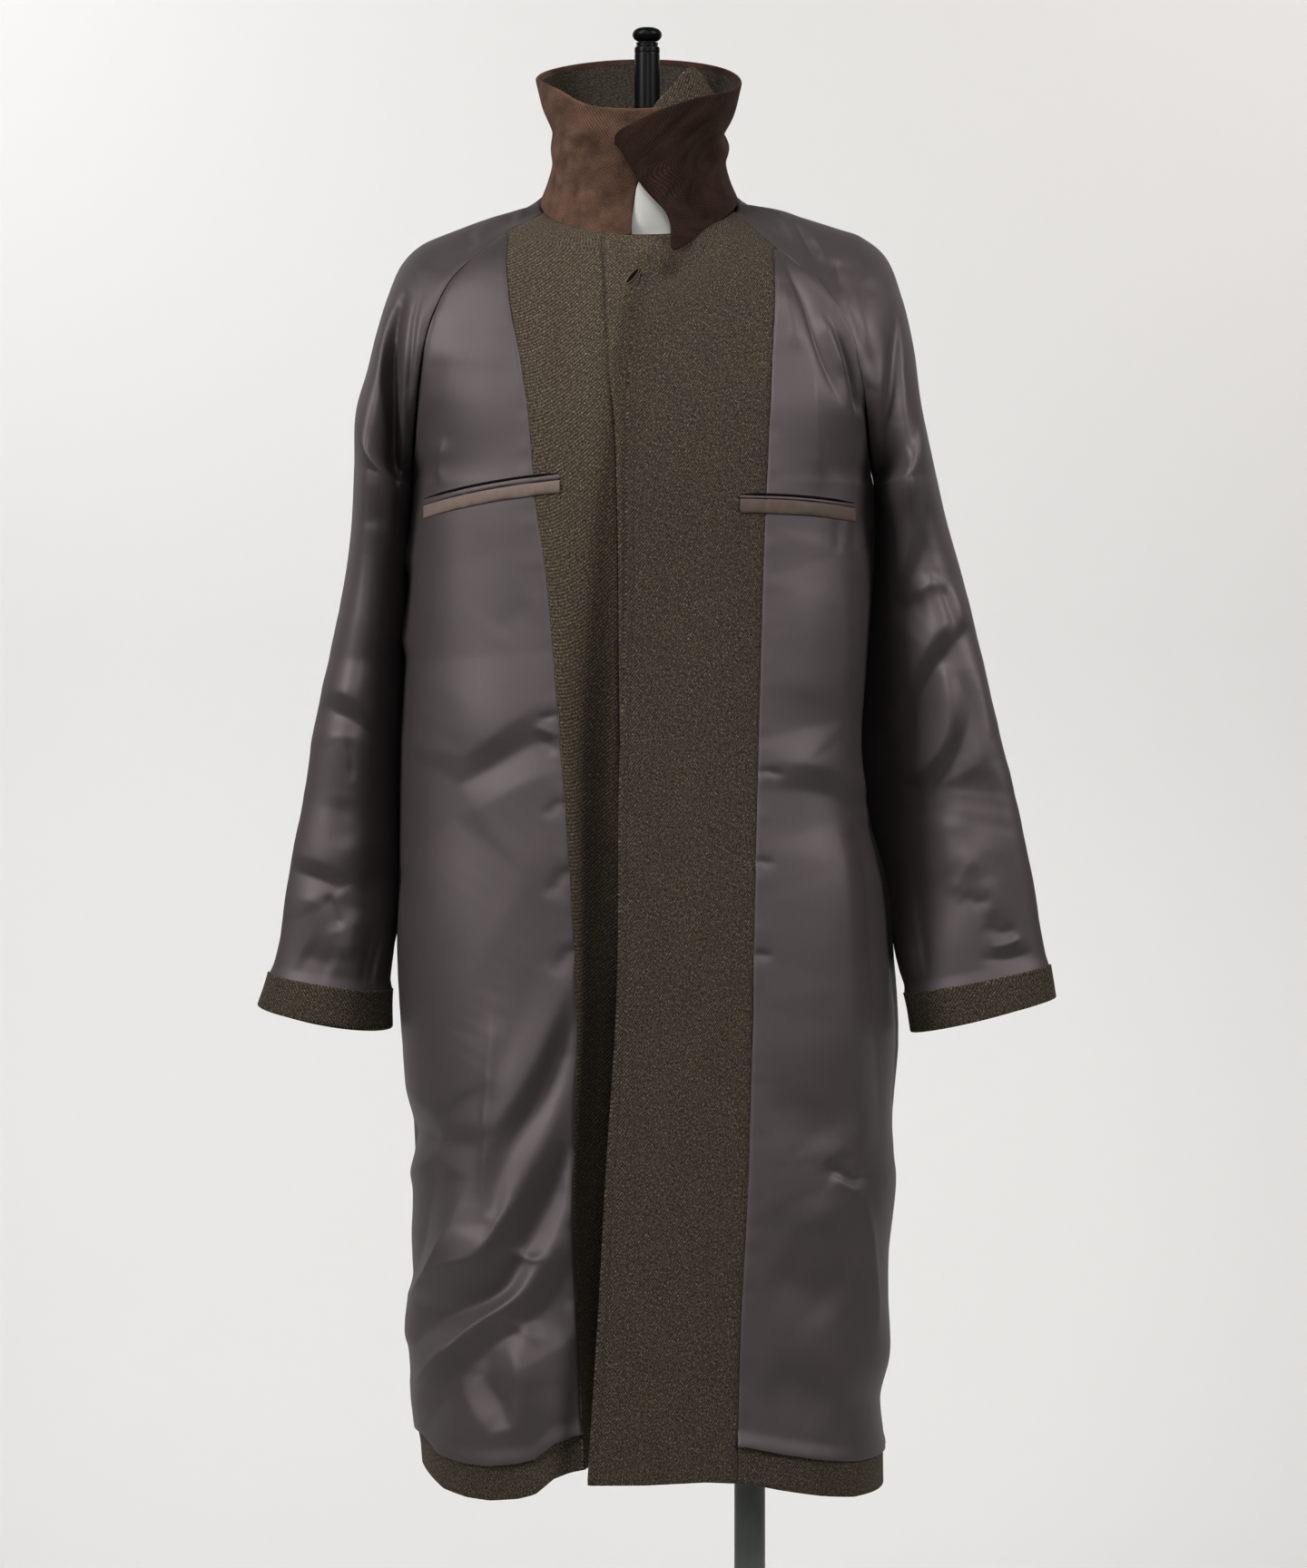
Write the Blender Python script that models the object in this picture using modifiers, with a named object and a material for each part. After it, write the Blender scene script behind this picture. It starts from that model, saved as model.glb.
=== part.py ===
"""A balmacaan coat hung inside out on a limbless dress form.

Metres, +X to the viewer's right, -Y towards the viewer, +Z up, floor at z = 0.
Left and right are the viewer's. The lining is outside because the coat is turned inside out.
Every cloth panel is a thin wall lofted through sections that run across the coat or the sleeve.
"""

import math
from collections import namedtuple

import bmesh
import bpy
import numpy as np
from mathutils import Vector
from mathutils.bvhtree import BVHTree
from mathutils.kdtree import KDTree

# Cloth thicknesses and clearances
SHELL_WALL = 0.0025
FACING_WALL = 0.0030
COLLAR_WALL = 0.0016
TRIM_WALL = 0.0012
SEAM_GAP = 0.0003
TRIM_GAP = 0.0006
TRIM_REACH = 0.0020
UNDERLAP = 0.0055
BAND_INSET = 0.0008

# Heights of the coat's main lines
UNDERARM_HEIGHT = 1.2595
LINING_EDGE_HEIGHT = 0.430
HEM_HEIGHT = 0.400
ROW_PITCH = 0.030
UNDERARM_ROW = 9
LINING_TOP_ROW = 1

# Neckline, an ellipse that tips down towards the front
NECK_X = -0.0072
NECK_HALF_WIDTH = 0.0865
NECK_FRONT = 0.083
NECK_BACK = 0.075
NECK_HEIGHT = 1.512
NECK_TIP = 0.036
NECK_SEAM_FRONT = 75.0
NECK_SEAM_BACK = 108.0
RIGHT_DROOP_ROWS = 0.95

# Panel grids
LOWER_ROWS = 22
LINING_COLUMNS = 7
FACING_COLUMNS = 4
FLY_COLUMNS = 3
WIDE_FACING_COLUMNS = 6
BACK_COLUMNS = 16
SLEEVE_COLUMNS = 9
SLEEVE_ROWS = 13
COLLAR_COLUMNS = 36
COLLAR_ROWS = 5

# Dress form and stand
POST_RADIUS = 0.0112
POST_TOP = 1.652
KNOB_RADIUS = 0.0130
KNOB_TOP = 1.667
POLE_RADIUS = 0.0136
POLE_X = 0.0904
BASE_RADIUS = 0.200
BASE_THICKNESS = 0.012
FORM_X = -0.004
FORM_SEGMENTS = 32

# Upper rows, from the neckline down to the underarm. Turn is the cloth's heading at the raglan
# seam in degrees, leave is the sleeve's heading as it starts from that seam.
Yoke = namedtuple("Yoke", "front_z front_y back_z back_y turn rise pull reach leave lead over")
YOKE = [
    Yoke(1.4760, -0.0830, 1.548, 0.075, 75, 0.42, 0.47, 0.038, 75, 0.010, 0.010),
    Yoke(1.4630, -0.0920, 1.520, 0.089, 52, 0.22, 0.50, 0.034, 46, 0.028, 0.028),
    Yoke(1.4460, -0.1015, 1.487, 0.103, 40, 0.14, 0.50, 0.033, 33, 0.034, 0.042),
    Yoke(1.4260, -0.1115, 1.454, 0.115, 33, 0.10, 0.50, 0.033, 22, 0.036, 0.054),
    Yoke(1.4020, -0.1215, 1.420, 0.124, 30, 0.08, 0.50, 0.034, 11, 0.036, 0.062),
    Yoke(1.3790, -0.1295, 1.389, 0.130, 32, 0.06, 0.50, 0.036, 0, 0.036, 0.068),
    Yoke(1.3540, -0.1365, 1.358, 0.134, 41, 0.05, 0.52, 0.041, -14, 0.038, 0.074),
    Yoke(1.3220, -0.1435, 1.324, 0.136, 56, 0.03, 0.55, 0.052, -32, 0.046, 0.086),
    Yoke(1.2880, -0.1485, 1.290, 0.137, 76, 0.00, 0.58, 0.068, -57, 0.078, 0.110),
    Yoke(1.2595, -0.1510, 1.2595, 0.136, 90, 0.00, 0.60, 0.086, -90, 0.140, 0.140),
]

# Raglan seams and the overarm line, a row for each yoke row after the neckline
Seam = namedtuple("Seam", "x y z")
FRONT_SEAM_LEFT = [
    Seam(-0.1231, -0.058, 1.4809),
    Seam(-0.1514, -0.083, 1.4562),
    Seam(-0.1705, -0.097, 1.4352),
    Seam(-0.1826, -0.106, 1.4101),
    Seam(-0.1896, -0.109, 1.3880),
    Seam(-0.1943, -0.107, 1.3631),
    Seam(-0.1989, -0.092, 1.3276),
    Seam(-0.2038, -0.055, 1.2876),
    Seam(-0.2066, 0.004, 1.2595),
]
FRONT_SEAM_RIGHT = [
    Seam(0.1120, -0.067, 1.4675),
    Seam(0.1320, -0.085, 1.4490),
    Seam(0.1488, -0.098, 1.4304),
    Seam(0.1657, -0.107, 1.4077),
    Seam(0.1780, -0.111, 1.3823),
    Seam(0.1852, -0.108, 1.3490),
    Seam(0.1897, -0.094, 1.3157),
    Seam(0.1943, -0.058, 1.2834),
    Seam(0.2000, 0.004, 1.2595),
]
BACK_SEAM_LEFT = [
    Seam(-0.1070, 0.054, 1.4970),
    Seam(-0.1290, 0.079, 1.4680),
    Seam(-0.1490, 0.096, 1.4380),
    Seam(-0.1650, 0.107, 1.4080),
    Seam(-0.1780, 0.111, 1.3780),
    Seam(-0.1880, 0.108, 1.3480),
    Seam(-0.1970, 0.094, 1.3180),
    Seam(-0.2050, 0.062, 1.2860),
    Seam(-0.2066, 0.004, 1.2595),
]
BACK_SEAM_RIGHT = [
    Seam(0.0980, 0.054, 1.4970),
    Seam(0.1220, 0.079, 1.4680),
    Seam(0.1420, 0.096, 1.4380),
    Seam(0.1580, 0.107, 1.4080),
    Seam(0.1710, 0.111, 1.3780),
    Seam(0.1810, 0.108, 1.3480),
    Seam(0.1900, 0.094, 1.3180),
    Seam(0.1975, 0.062, 1.2860),
    Seam(0.2000, 0.004, 1.2595),
]
OVERARM_LEFT = [
    Seam(-0.1376, 0.004, 1.4992),
    Seam(-0.1704, 0.006, 1.4872),
    Seam(-0.1984, 0.008, 1.4752),
    Seam(-0.2160, 0.009, 1.4576),
    Seam(-0.2280, 0.010, 1.4288),
    Seam(-0.2376, 0.010, 1.3968),
    Seam(-0.2456, 0.010, 1.3632),
    Seam(-0.2552, 0.010, 1.3272),
    Seam(-0.2576, 0.010, 1.2792),
]
OVERARM_RIGHT = [
    Seam(0.1128, 0.004, 1.5072),
    Seam(0.1380, 0.004, 1.4990),
    Seam(0.1640, 0.004, 1.4905),
    Seam(0.1890, 0.003, 1.4815),
    Seam(0.2110, 0.002, 1.4620),
    Seam(0.2245, 0.000, 1.4260),
    Seam(0.2340, -0.002, 1.3820),
    Seam(0.2400, -0.003, 1.3320),
    Seam(0.2540, -0.004, 1.2700),
]

# Body below the underarm: half rings at each height
Body = namedtuple("Body", "z left right front_y back_y")
BODY = [
    Body(1.180, -0.2104, 0.1985, -0.1515, 0.131),
    Body(1.100, -0.2136, 0.1925, -0.1520, 0.128),
    Body(1.035, -0.2168, 0.1885, -0.1530, 0.129),
    Body(0.970, -0.2184, 0.1970, -0.1540, 0.133),
    Body(0.915, -0.2195, 0.2125, -0.1550, 0.138),
    Body(0.850, -0.2200, 0.2185, -0.1560, 0.143),
    Body(0.780, -0.2160, 0.2225, -0.1580, 0.150),
    Body(0.700, -0.2064, 0.2168, -0.1600, 0.158),
    Body(0.650, -0.2048, 0.2184, -0.1610, 0.163),
    Body(0.600, -0.2072, 0.2136, -0.1620, 0.167),
    Body(0.555, -0.2016, 0.2120, -0.1630, 0.171),
    Body(0.507, -0.2112, 0.2136, -0.1640, 0.175),
    Body(0.475, -0.2032, 0.2056, -0.1645, 0.178),
    Body(0.443, -0.2016, 0.2080, -0.1655, 0.181),
    Body(0.400, -0.1976, 0.2088, -0.1665, 0.184),
]
BODY_SIDE_Y = 0.004

# Sleeves below the underarm: outer and inner fold of the flattened tube, and its half depth.
# The row before the last one is where the lining stops, the last one is the cuff's edge.
Tube = namedtuple("Tube", "over_x over_z inner_x inner_z middle depth")
TUBE_LEFT = [
    Tube(-0.2600, 1.2272, -0.2120, 1.2192, 0.007, 0.100),
    Tube(-0.2656, 1.1792, -0.2136, 1.1696, 0.010, 0.094),
    Tube(-0.2776, 1.1152, -0.2176, 1.1024, 0.012, 0.086),
    Tube(-0.2912, 1.0512, -0.2200, 1.0368, 0.012, 0.078),
    Tube(-0.3008, 0.9872, -0.2208, 0.9712, 0.012, 0.071),
    Tube(-0.3136, 0.9232, -0.2218, 0.9040, 0.012, 0.064),
    Tube(-0.3216, 0.8672, -0.2248, 0.8512, 0.012, 0.057),
    Tube(-0.3312, 0.8296, -0.2272, 0.8152, 0.012, 0.052),
    Tube(-0.3392, 0.8064, -0.2272, 0.7880, 0.012, 0.052),
]
TUBE_RIGHT = [
    Tube(0.2632, 1.2312, 0.2040, 1.2192, 0.000, 0.098),
    Tube(0.2752, 1.1856, 0.2010, 1.1672, -0.004, 0.088),
    Tube(0.2896, 1.1232, 0.2012, 1.0992, -0.008, 0.077),
    Tube(0.3056, 1.0512, 0.2064, 1.0272, -0.010, 0.067),
    Tube(0.3200, 0.9936, 0.2144, 0.9696, -0.012, 0.060),
    Tube(0.3344, 0.9272, 0.2232, 0.9032, -0.012, 0.053),
    Tube(0.3440, 0.8712, 0.2244, 0.8472, -0.012, 0.047),
    Tube(0.3504, 0.8376, 0.2288, 0.8128, -0.012, 0.043),
    Tube(0.3544, 0.8144, 0.2336, 0.7848, -0.012, 0.043),
]

# How far the middle of a cuff hangs below its two folds
CUFF_SAG = {(-1, "front"): 0.0050, (-1, "back"): 0.0125, (1, "front"): 0.0020, (1, "back"): 0.0080}
CUFF_SAG_ROWS = 3.0

# Lines that run down the fronts: height and x
LEFT_FACING_SEAM = [
    (1.444, -0.1218), (1.407, -0.1174), (1.361, -0.1085), (1.312, -0.1013), (1.237, -0.0949),
    (1.172, -0.0856), (1.061, -0.0756), (0.951, -0.0678), (0.793, -0.0600), (0.648, -0.0623),
    (0.520, -0.0576), (0.400, -0.0530),
]
RIGHT_FACING_SEAM = [
    (1.449, 0.1105), (1.420, 0.1101), (1.363, 0.1073), (1.296, 0.1039), (1.175, 0.0991),
    (0.982, 0.0937), (0.793, 0.0897), (0.648, 0.0858), (0.520, 0.0788), (0.400, 0.0770),
]
RIGHT_FRONT_EDGE = [
    (1.476, 0.0040), (1.458, 0.0009), (1.431, -0.0061), (1.386, -0.0115), (1.352, -0.0146),
    (1.296, -0.0161), (1.173, -0.0168), (0.998, -0.0222), (0.818, -0.0240), (0.674, -0.0330),
    (0.520, -0.0414), (0.400, -0.0490),
]
FLY_SEAM = [
    (1.477, -0.0384), (1.408, -0.0365), (1.352, -0.0340), (1.307, -0.0285), (1.253, -0.0261),
    (1.077, -0.0238), (0.818, -0.0200), (0.400, -0.0180),
]
LEFT_FRONT_EDGE = [(1.477, 0.0240), (1.300, 0.0300), (0.800, 0.0220), (0.400, 0.0120)]

# Rise and fall of the hem: x and height
HEM_WAVE_LEFT = [
    (-0.300, 0.006), (-0.195, 0.006), (-0.175, -0.006), (-0.155, -0.010), (-0.135, -0.011),
    (-0.110, -0.008), (-0.095, -0.004), (-0.079, 0.009), (-0.064, 0.014), (-0.050, 0.0165), (0.050, 0.0165),
]
HEM_WAVE_RIGHT = [
    (-0.060, 0.006), (0.000, 0.006), (0.050, 0.008), (0.085, 0.006), (0.115, -0.001),
    (0.150, -0.008), (0.180, -0.0125), (0.300, -0.0125),
]
HEM_WAVE_BACK = [(-0.300, 0.006), (-0.195, 0.006), (0.000, -0.002), (0.180, -0.0125), (0.300, -0.0125)]

# Largest folds, seen from the front or the back: ends, width and height of each ridge or trough
Fold = namedtuple("Fold", "x0 z0 x1 z1 width height")
FRONT_FOLDS = [
    Fold(-0.0655, 0.632, -0.1892, 0.473, 0.017, 0.011),
    Fold(-0.0949, 0.607, -0.1877, 0.533, 0.020, -0.010),
    Fold(-0.1119, 0.650, -0.1459, 0.587, 0.012, 0.006),
    Fold(-0.1552, 0.633, -0.1946, 0.562, 0.014, 0.008),
    Fold(-0.1289, 0.776, -0.1320, 0.648, 0.014, 0.006),
    Fold(-0.1405, 0.490, -0.1204, 0.464, 0.012, -0.006),
    Fold(-0.0825, 1.046, -0.1482, 1.017, 0.016, -0.006),
    Fold(0.0945, 1.007, 0.1795, 0.980, 0.016, -0.006),
    Fold(0.1733, 0.887, 0.1811, 0.705, 0.014, 0.006),
    Fold(0.1571, 0.673, 0.1857, 0.656, 0.012, -0.006),
    Fold(0.1857, 0.638, 0.1960, 0.505, 0.013, 0.006),
    Fold(0.1216, 0.748, 0.1370, 0.671, 0.030, -0.006),
    Fold(0.1430, 1.337, 0.1453, 1.247, 0.011, 0.005),
    Fold(0.1267, 1.437, 0.1634, 1.332, 0.012, -0.006),
    Fold(-0.2001, 1.442, -0.2196, 1.291, 0.011, -0.010),
    Fold(-0.2765, 1.078, -0.2600, 1.050, 0.013, -0.008),
    Fold(-0.3056, 0.933, -0.2800, 0.910, 0.013, -0.007),
    Fold(0.2573, 1.174, 0.2604, 1.065, 0.014, -0.008),
    Fold(0.2063, 1.065, 0.2510, 1.125, 0.014, 0.006),
    Fold(0.2151, 1.421, 0.2064, 1.290, 0.012, -0.010),
]
BACK_FOLDS = [
    Fold(-0.0850, 1.000, -0.1000, 0.390, 0.034, 0.012),
    Fold(-0.0250, 0.900, -0.0350, 0.390, 0.030, -0.010),
    Fold(0.0450, 1.050, 0.0550, 0.390, 0.036, 0.011),
    Fold(0.1150, 0.850, 0.1300, 0.390, 0.030, -0.009),
    Fold(-0.1100, 1.360, -0.1650, 1.270, 0.016, -0.006),
    Fold(0.1050, 1.360, 0.1600, 1.270, 0.016, -0.006),
    Fold(-0.2500, 1.180, -0.2650, 1.000, 0.016, -0.008),
    Fold(0.2450, 1.180, 0.2800, 1.000, 0.016, -0.008),
]
FOLD_MASK_DEPTH = 0.050

# Pocket trims on the fronts: line of the lower edge, height, gap above it
Pocket = namedtuple("Pocket", "x0 z0 x1 z1 sag height lip")
POCKET_LEFT = Pocket(-0.1935, 1.2300, -0.0750, 1.2485, 0.0020, 0.0105, 0.0050)
POCKET_RIGHT = Pocket(0.0800, 1.2315, 0.1800, 1.2265, 0.0015, 0.0115, 0.0030)
POCKET_COLUMNS = 14

# Collar: share of the height, half width, front and back reach, level and tip of each ring
Ring = namedtuple("Ring", "share half_width front back level tip")
COLLAR = [
    Ring(0.00, 0.0865, 0.083, 0.075, 1.5150, 0.0360),
    Ring(0.15, 0.0810, 0.079, 0.071, 1.5280, 0.0355),
    Ring(0.37, 0.0757, 0.076, 0.069, 1.5510, 0.0345),
    Ring(0.60, 0.0790, 0.078, 0.073, 1.5755, 0.0335),
    Ring(0.80, 0.0860, 0.082, 0.081, 1.5970, 0.0325),
    Ring(1.00, 0.0908, 0.086, 0.087, 1.6180, 0.0320),
]
COLLAR_START = (5.0, -18.0)
COLLAR_END = (342.0, 375.0)
COLLAR_TOP_DROOP = 0.033
COLLAR_TUCK = 0.0045
COLLAR_LIFT = 0.0042

# Throat tab: angle round the neck and height of its upper edge
TAB_EDGE = [
    (8, 1.585), (12, 1.592), (22, 1.607), (30, 1.6195), (36, 1.6225), (41, 1.619), (47, 1.610),
    (54, 1.601), (60, 1.592),
]
TAB_FOOT = 1.556
TAB_INSET = 0.0105

# Dress form: height, half width, front and back reach of each ring
FORM = [
    (0.800, 0.118, 0.078, 0.085), (0.806, 0.140, 0.095, 0.103), (0.830, 0.158, 0.110, 0.118),
    (0.880, 0.166, 0.117, 0.124), (0.940, 0.162, 0.116, 0.116), (1.000, 0.150, 0.110, 0.104),
    (1.060, 0.143, 0.106, 0.098), (1.120, 0.147, 0.108, 0.100), (1.190, 0.157, 0.114, 0.105),
    (1.260, 0.166, 0.118, 0.110), (1.320, 0.174, 0.113, 0.112), (1.380, 0.182, 0.100, 0.109),
    (1.420, 0.187, 0.084, 0.100), (1.445, 0.187, 0.072, 0.090), (1.462, 0.179, 0.062, 0.079),
    (1.476, 0.150, 0.052, 0.068), (1.487, 0.114, 0.051, 0.060), (1.496, 0.082, 0.052, 0.055),
    (1.506, 0.066, 0.053, 0.054), (1.520, 0.061, 0.055, 0.054), (1.540, 0.059, 0.056, 0.053),
    (1.560, 0.058, 0.055, 0.052), (1.567, 0.054, 0.051, 0.048), (1.570, 0.044, 0.041, 0.038),
]

# Colours, roughness and metal of each material
MATERIALS = {
    "lining_satin": ((0.150, 0.126, 0.130), 0.42, 0.0),
    "wool_twill": ((0.080, 0.064, 0.048), 0.90, 0.0),
    "corduroy": ((0.072, 0.044, 0.032), 0.85, 0.0),
    "welt_satin": ((0.155, 0.120, 0.104), 0.40, 0.0),
    "form_cover": ((0.760, 0.750, 0.710), 0.70, 0.0),
    "form_black": ((0.010, 0.010, 0.010), 0.18, 0.0),
    "stand_metal": ((0.045, 0.050, 0.045), 0.45, 0.0),
}


def smooth(value):
    """A soft step from 0 to 1."""
    value = np.clip(value, 0.0, 1.0)
    return value * value * (3.0 - 2.0 * value)


def spline(knots, values, at):
    """Values between a table's rows, on a smooth curve through all of them."""
    knots = np.asarray(knots, float)
    values = np.asarray(values, float)
    slopes = np.gradient(values, knots, axis=0)
    at = np.clip(np.asarray(at, float), knots[0], knots[-1])
    low = np.clip(np.searchsorted(knots, at, side="right") - 1, 0, len(knots) - 2)
    span = knots[low + 1] - knots[low]
    t = (at - knots[low]) / span
    if values.ndim == 2:
        t = t[..., None]
        span = span[..., None]
    return (
        values[low] * (1 + 2 * t) * (1 - t) ** 2
        + values[low + 1] * t * t * (3 - 2 * t)
        + slopes[low] * span * t * (1 - t) ** 2
        - slopes[low + 1] * span * t * t * (1 - t)
    )


def bezier(p0, p1, p2, p3, t):
    """Points of a cubic curve, for arrays of control points."""
    t = np.asarray(t)[..., None]
    return p0 * (1 - t) ** 3 + 3 * p1 * t * (1 - t) ** 2 + 3 * p2 * t * t * (1 - t) + p3 * t ** 3


def row_of_height(z):
    """The body row at a height below the underarm."""
    return UNDERARM_ROW + (UNDERARM_HEIGHT - np.asarray(z)) / ROW_PITCH


def neck_point(degrees):
    """A point of the neckline, by its angle from the front."""
    angle = np.radians(np.asarray(degrees, float))
    reach = np.where(np.cos(angle) > 0, NECK_FRONT, NECK_BACK)
    return np.stack([
        NECK_X + NECK_HALF_WIDTH * np.sin(angle),
        -reach * np.cos(angle),
        NECK_HEIGHT - NECK_TIP * np.cos(angle),
    ], axis=-1)


# Tables as arrays, with the rows they belong to
YOKE_ROWS = np.arange(UNDERARM_ROW + 1)
BODY_ROWS = np.concatenate([YOKE_ROWS, row_of_height([row.z for row in BODY])])
YOKE_TABLE = np.array(YOKE)
BODY_TABLE = np.array(BODY)
YOKE_COLUMN = {name: index for index, name in enumerate(Yoke._fields)}


def seam_table(degrees, rows):
    """A seam's points, starting on the neckline."""
    return np.vstack([neck_point(degrees), np.array(rows)])


SEAMS = {
    ("front", -1): seam_table(-NECK_SEAM_FRONT, FRONT_SEAM_LEFT),
    ("front", 1): seam_table(NECK_SEAM_FRONT, FRONT_SEAM_RIGHT),
    ("back", -1): seam_table(-NECK_SEAM_BACK, BACK_SEAM_LEFT),
    ("back", 1): seam_table(NECK_SEAM_BACK, BACK_SEAM_RIGHT),
    ("over", -1): seam_table(-90.0, OVERARM_LEFT),
    ("over", 1): seam_table(90.0, OVERARM_RIGHT),
}


def yoke_value(name, row):
    """A yoke column between its rows, held below the underarm."""
    return spline(YOKE_ROWS, YOKE_TABLE[:, YOKE_COLUMN[name]], row)


def body_value(yoke_name, body_column, row):
    """A column that runs on from the yoke into the body below."""
    column = YOKE_TABLE[:, YOKE_COLUMN[yoke_name]]
    return spline(BODY_ROWS, np.concatenate([column, BODY_TABLE[:, body_column]]), row)


def body_side(face, side, row):
    """Where a body row ends: on the raglan seam, or on the side seam below the underarm."""
    row = np.asarray(row, float)
    seam = spline(YOKE_ROWS, SEAMS[face, side], np.minimum(row, UNDERARM_ROW))
    start = SEAMS[face, side][-1, 0]
    edge = np.concatenate([[start], BODY_TABLE[:, 1 if side < 0 else 2]])
    rows = np.concatenate([[UNDERARM_ROW], BODY_ROWS[UNDERARM_ROW + 1:]])
    below = np.maximum(row, UNDERARM_ROW)
    height = UNDERARM_HEIGHT - (below - UNDERARM_ROW) * ROW_PITCH
    low = np.stack([spline(rows, edge, below), np.full_like(height, BODY_SIDE_Y), height], axis=-1)
    return np.where((row > UNDERARM_ROW)[..., None], low, seam)


def body_row(face, side, row):
    """The four control points of half a body row, from the centre to its side."""
    row = np.asarray(row, float)
    ahead = -1.0 if face == "front" else 1.0
    depth = body_value(face + "_y", 3 if face == "front" else 4, row)
    height = body_value(face + "_z", 0, row)
    centre = np.stack([np.full_like(depth, NECK_X), depth, height], axis=-1)
    end = body_side(face, side, row)
    turn = np.radians(yoke_value("turn", row))
    reach = yoke_value("reach", row)
    lift = yoke_value("rise", row) * (1.0 if face == "front" else -1.0)
    heading = np.stack([side * np.cos(turn), -ahead * np.sin(turn), lift], axis=-1)
    pull = yoke_value("pull", row) * np.abs(end[..., 0] - NECK_X)
    first = centre.copy()
    first[..., 0] += side * pull
    return centre, first, end - heading * reach[..., None], end


def front_at_x(row, x):
    """Points of the front's surface at given rows and x."""
    row, x = np.broadcast_arrays(np.asarray(row, float), np.asarray(x, float))
    points = np.zeros(row.shape + (3,))
    for side in (-1, 1):
        pick = (x - NECK_X) * side >= 0
        if not pick.any():
            continue
        curve = body_row("front", side, row[pick])
        points[pick] = bezier(*curve, share_at_x(curve, x[pick], side))
    return points


def share_at_x(curve, x, side):
    """How far along half a row an x is met."""
    low = np.zeros_like(x)
    high = np.ones_like(x)
    for _ in range(40):
        middle = (low + high) / 2
        short = (bezier(*curve, middle)[..., 0] - x) * side < 0
        low = np.where(short, middle, low)
        high = np.where(short, high, middle)
    return (low + high) / 2


def line_at_row(table, row):
    """The x of a line down the front, at given rows."""
    heights = np.array([z for z, _ in table])[::-1]
    values = np.array([x for _, x in table])[::-1]
    return spline(heights, values, body_value("front_z", 0, row))


def facing_seam(side, row):
    """The x of the seam between facing and lining. Above the lining it is the raglan seam."""
    row = np.asarray(row, float)
    table = LEFT_FACING_SEAM if side < 0 else RIGHT_FACING_SEAM
    raglan = body_side("front", side, row)[..., 0]
    start = body_side("front", side, np.array(float(LINING_TOP_ROW)))[..., 0] - side * 0.002
    line = line_at_row(table, row)
    blend = smooth(row - LINING_TOP_ROW)
    return np.where(row < LINING_TOP_ROW, raglan, start * (1 - blend) + line * blend)


def droop_rows(x):
    """How many rows lower the right front's neckline starts near its edge."""
    return RIGHT_DROOP_ROWS * smooth((0.060 - x) / 0.055)


def drooped(row, x):
    """Rows of the right front, moved down near its upper corner."""
    return row + droop_rows(x) * smooth((4.0 - row) / 4.0)


def wave(points, table):
    """Raise and lower the coat's lowest part along its hem."""
    xs = [x for x, _ in table]
    lifts = [lift for _, lift in table]
    share = smooth((0.62 - points[..., 2]) / 0.17)
    points = points.copy()
    points[..., 2] += np.interp(points[..., 0], xs, lifts) * share
    return points


def tuck_under(points, row):
    """Move the left front back where the right front lies over it."""
    edge = line_at_row(RIGHT_FRONT_EDGE, row)
    points = points.copy()
    points[..., 1] += UNDERLAP * smooth((points[..., 0] - edge + 0.036) / 0.028)
    return points


def folded(points):
    """Push the largest folds out of the cloth and into it."""
    points = points.copy()
    x = points[..., 0]
    z = points[..., 2]
    for folds, ahead in ((FRONT_FOLDS, -1.0), (BACK_FOLDS, 1.0)):
        push = np.zeros_like(x)
        for fold in folds:
            run = np.array([fold.x1 - fold.x0, fold.z1 - fold.z0])
            length = np.hypot(*run)
            along = ((x - fold.x0) * run[0] + (z - fold.z0) * run[1]) / length ** 2
            nearest = np.clip(along, 0.0, 1.0)
            away = np.hypot(x - fold.x0 - nearest * run[0], z - fold.z0 - nearest * run[1])
            fade = smooth(np.minimum(nearest, 1.0 - nearest) / 0.3 + 0.25)
            push += fold.height * fade * np.exp(-((away / fold.width) ** 2))
        mask = smooth(ahead * (points[..., 1] - BODY_SIDE_Y) / FOLD_MASK_DEPTH)
        points[..., 1] += ahead * push * mask
    return points


def sleeve_section(side, face, row):
    """The four control points of half a sleeve section, from its inner seam to the overarm."""
    row = np.asarray(row, float)
    ahead = -1.0 if face == "front" else 1.0
    tube = np.array(TUBE_LEFT if side < 0 else TUBE_RIGHT)
    rows = np.concatenate([YOKE_ROWS, UNDERARM_ROW + 1.0 + np.arange(len(tube))])
    over_low = np.stack([tube[:, 0], tube[:, 4], tube[:, 1]], axis=-1)
    inner_low = np.stack([tube[:, 2], tube[:, 4], tube[:, 3]], axis=-1)
    over = spline(rows, np.vstack([SEAMS["over", side], over_low]), row)
    seam = spline(YOKE_ROWS, SEAMS[face, side], np.minimum(row, UNDERARM_ROW))
    below_rows = np.concatenate([[UNDERARM_ROW], rows[UNDERARM_ROW + 1:]])
    below = spline(below_rows, np.vstack([SEAMS[face, side][-1], inner_low]), row)
    inner = np.where((row > UNDERARM_ROW)[..., None], below, seam)
    depth = tube[:, 5] * 4.0 / 3.0
    leave = np.radians(yoke_value("leave", row))
    lead_column = np.concatenate([YOKE_TABLE[:, YOKE_COLUMN["lead"]], depth])
    over_column = np.concatenate([YOKE_TABLE[:, YOKE_COLUMN["over"]], depth])
    lead = spline(rows, lead_column, row)
    swing = spline(rows, over_column, row)
    heading = np.stack([side * np.cos(leave), -ahead * np.sin(leave), np.zeros_like(leave)], axis=-1)
    back = np.zeros_like(over)
    back[..., 1] = ahead * swing
    return inner, inner + heading * lead[..., None], over + back, over


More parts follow.
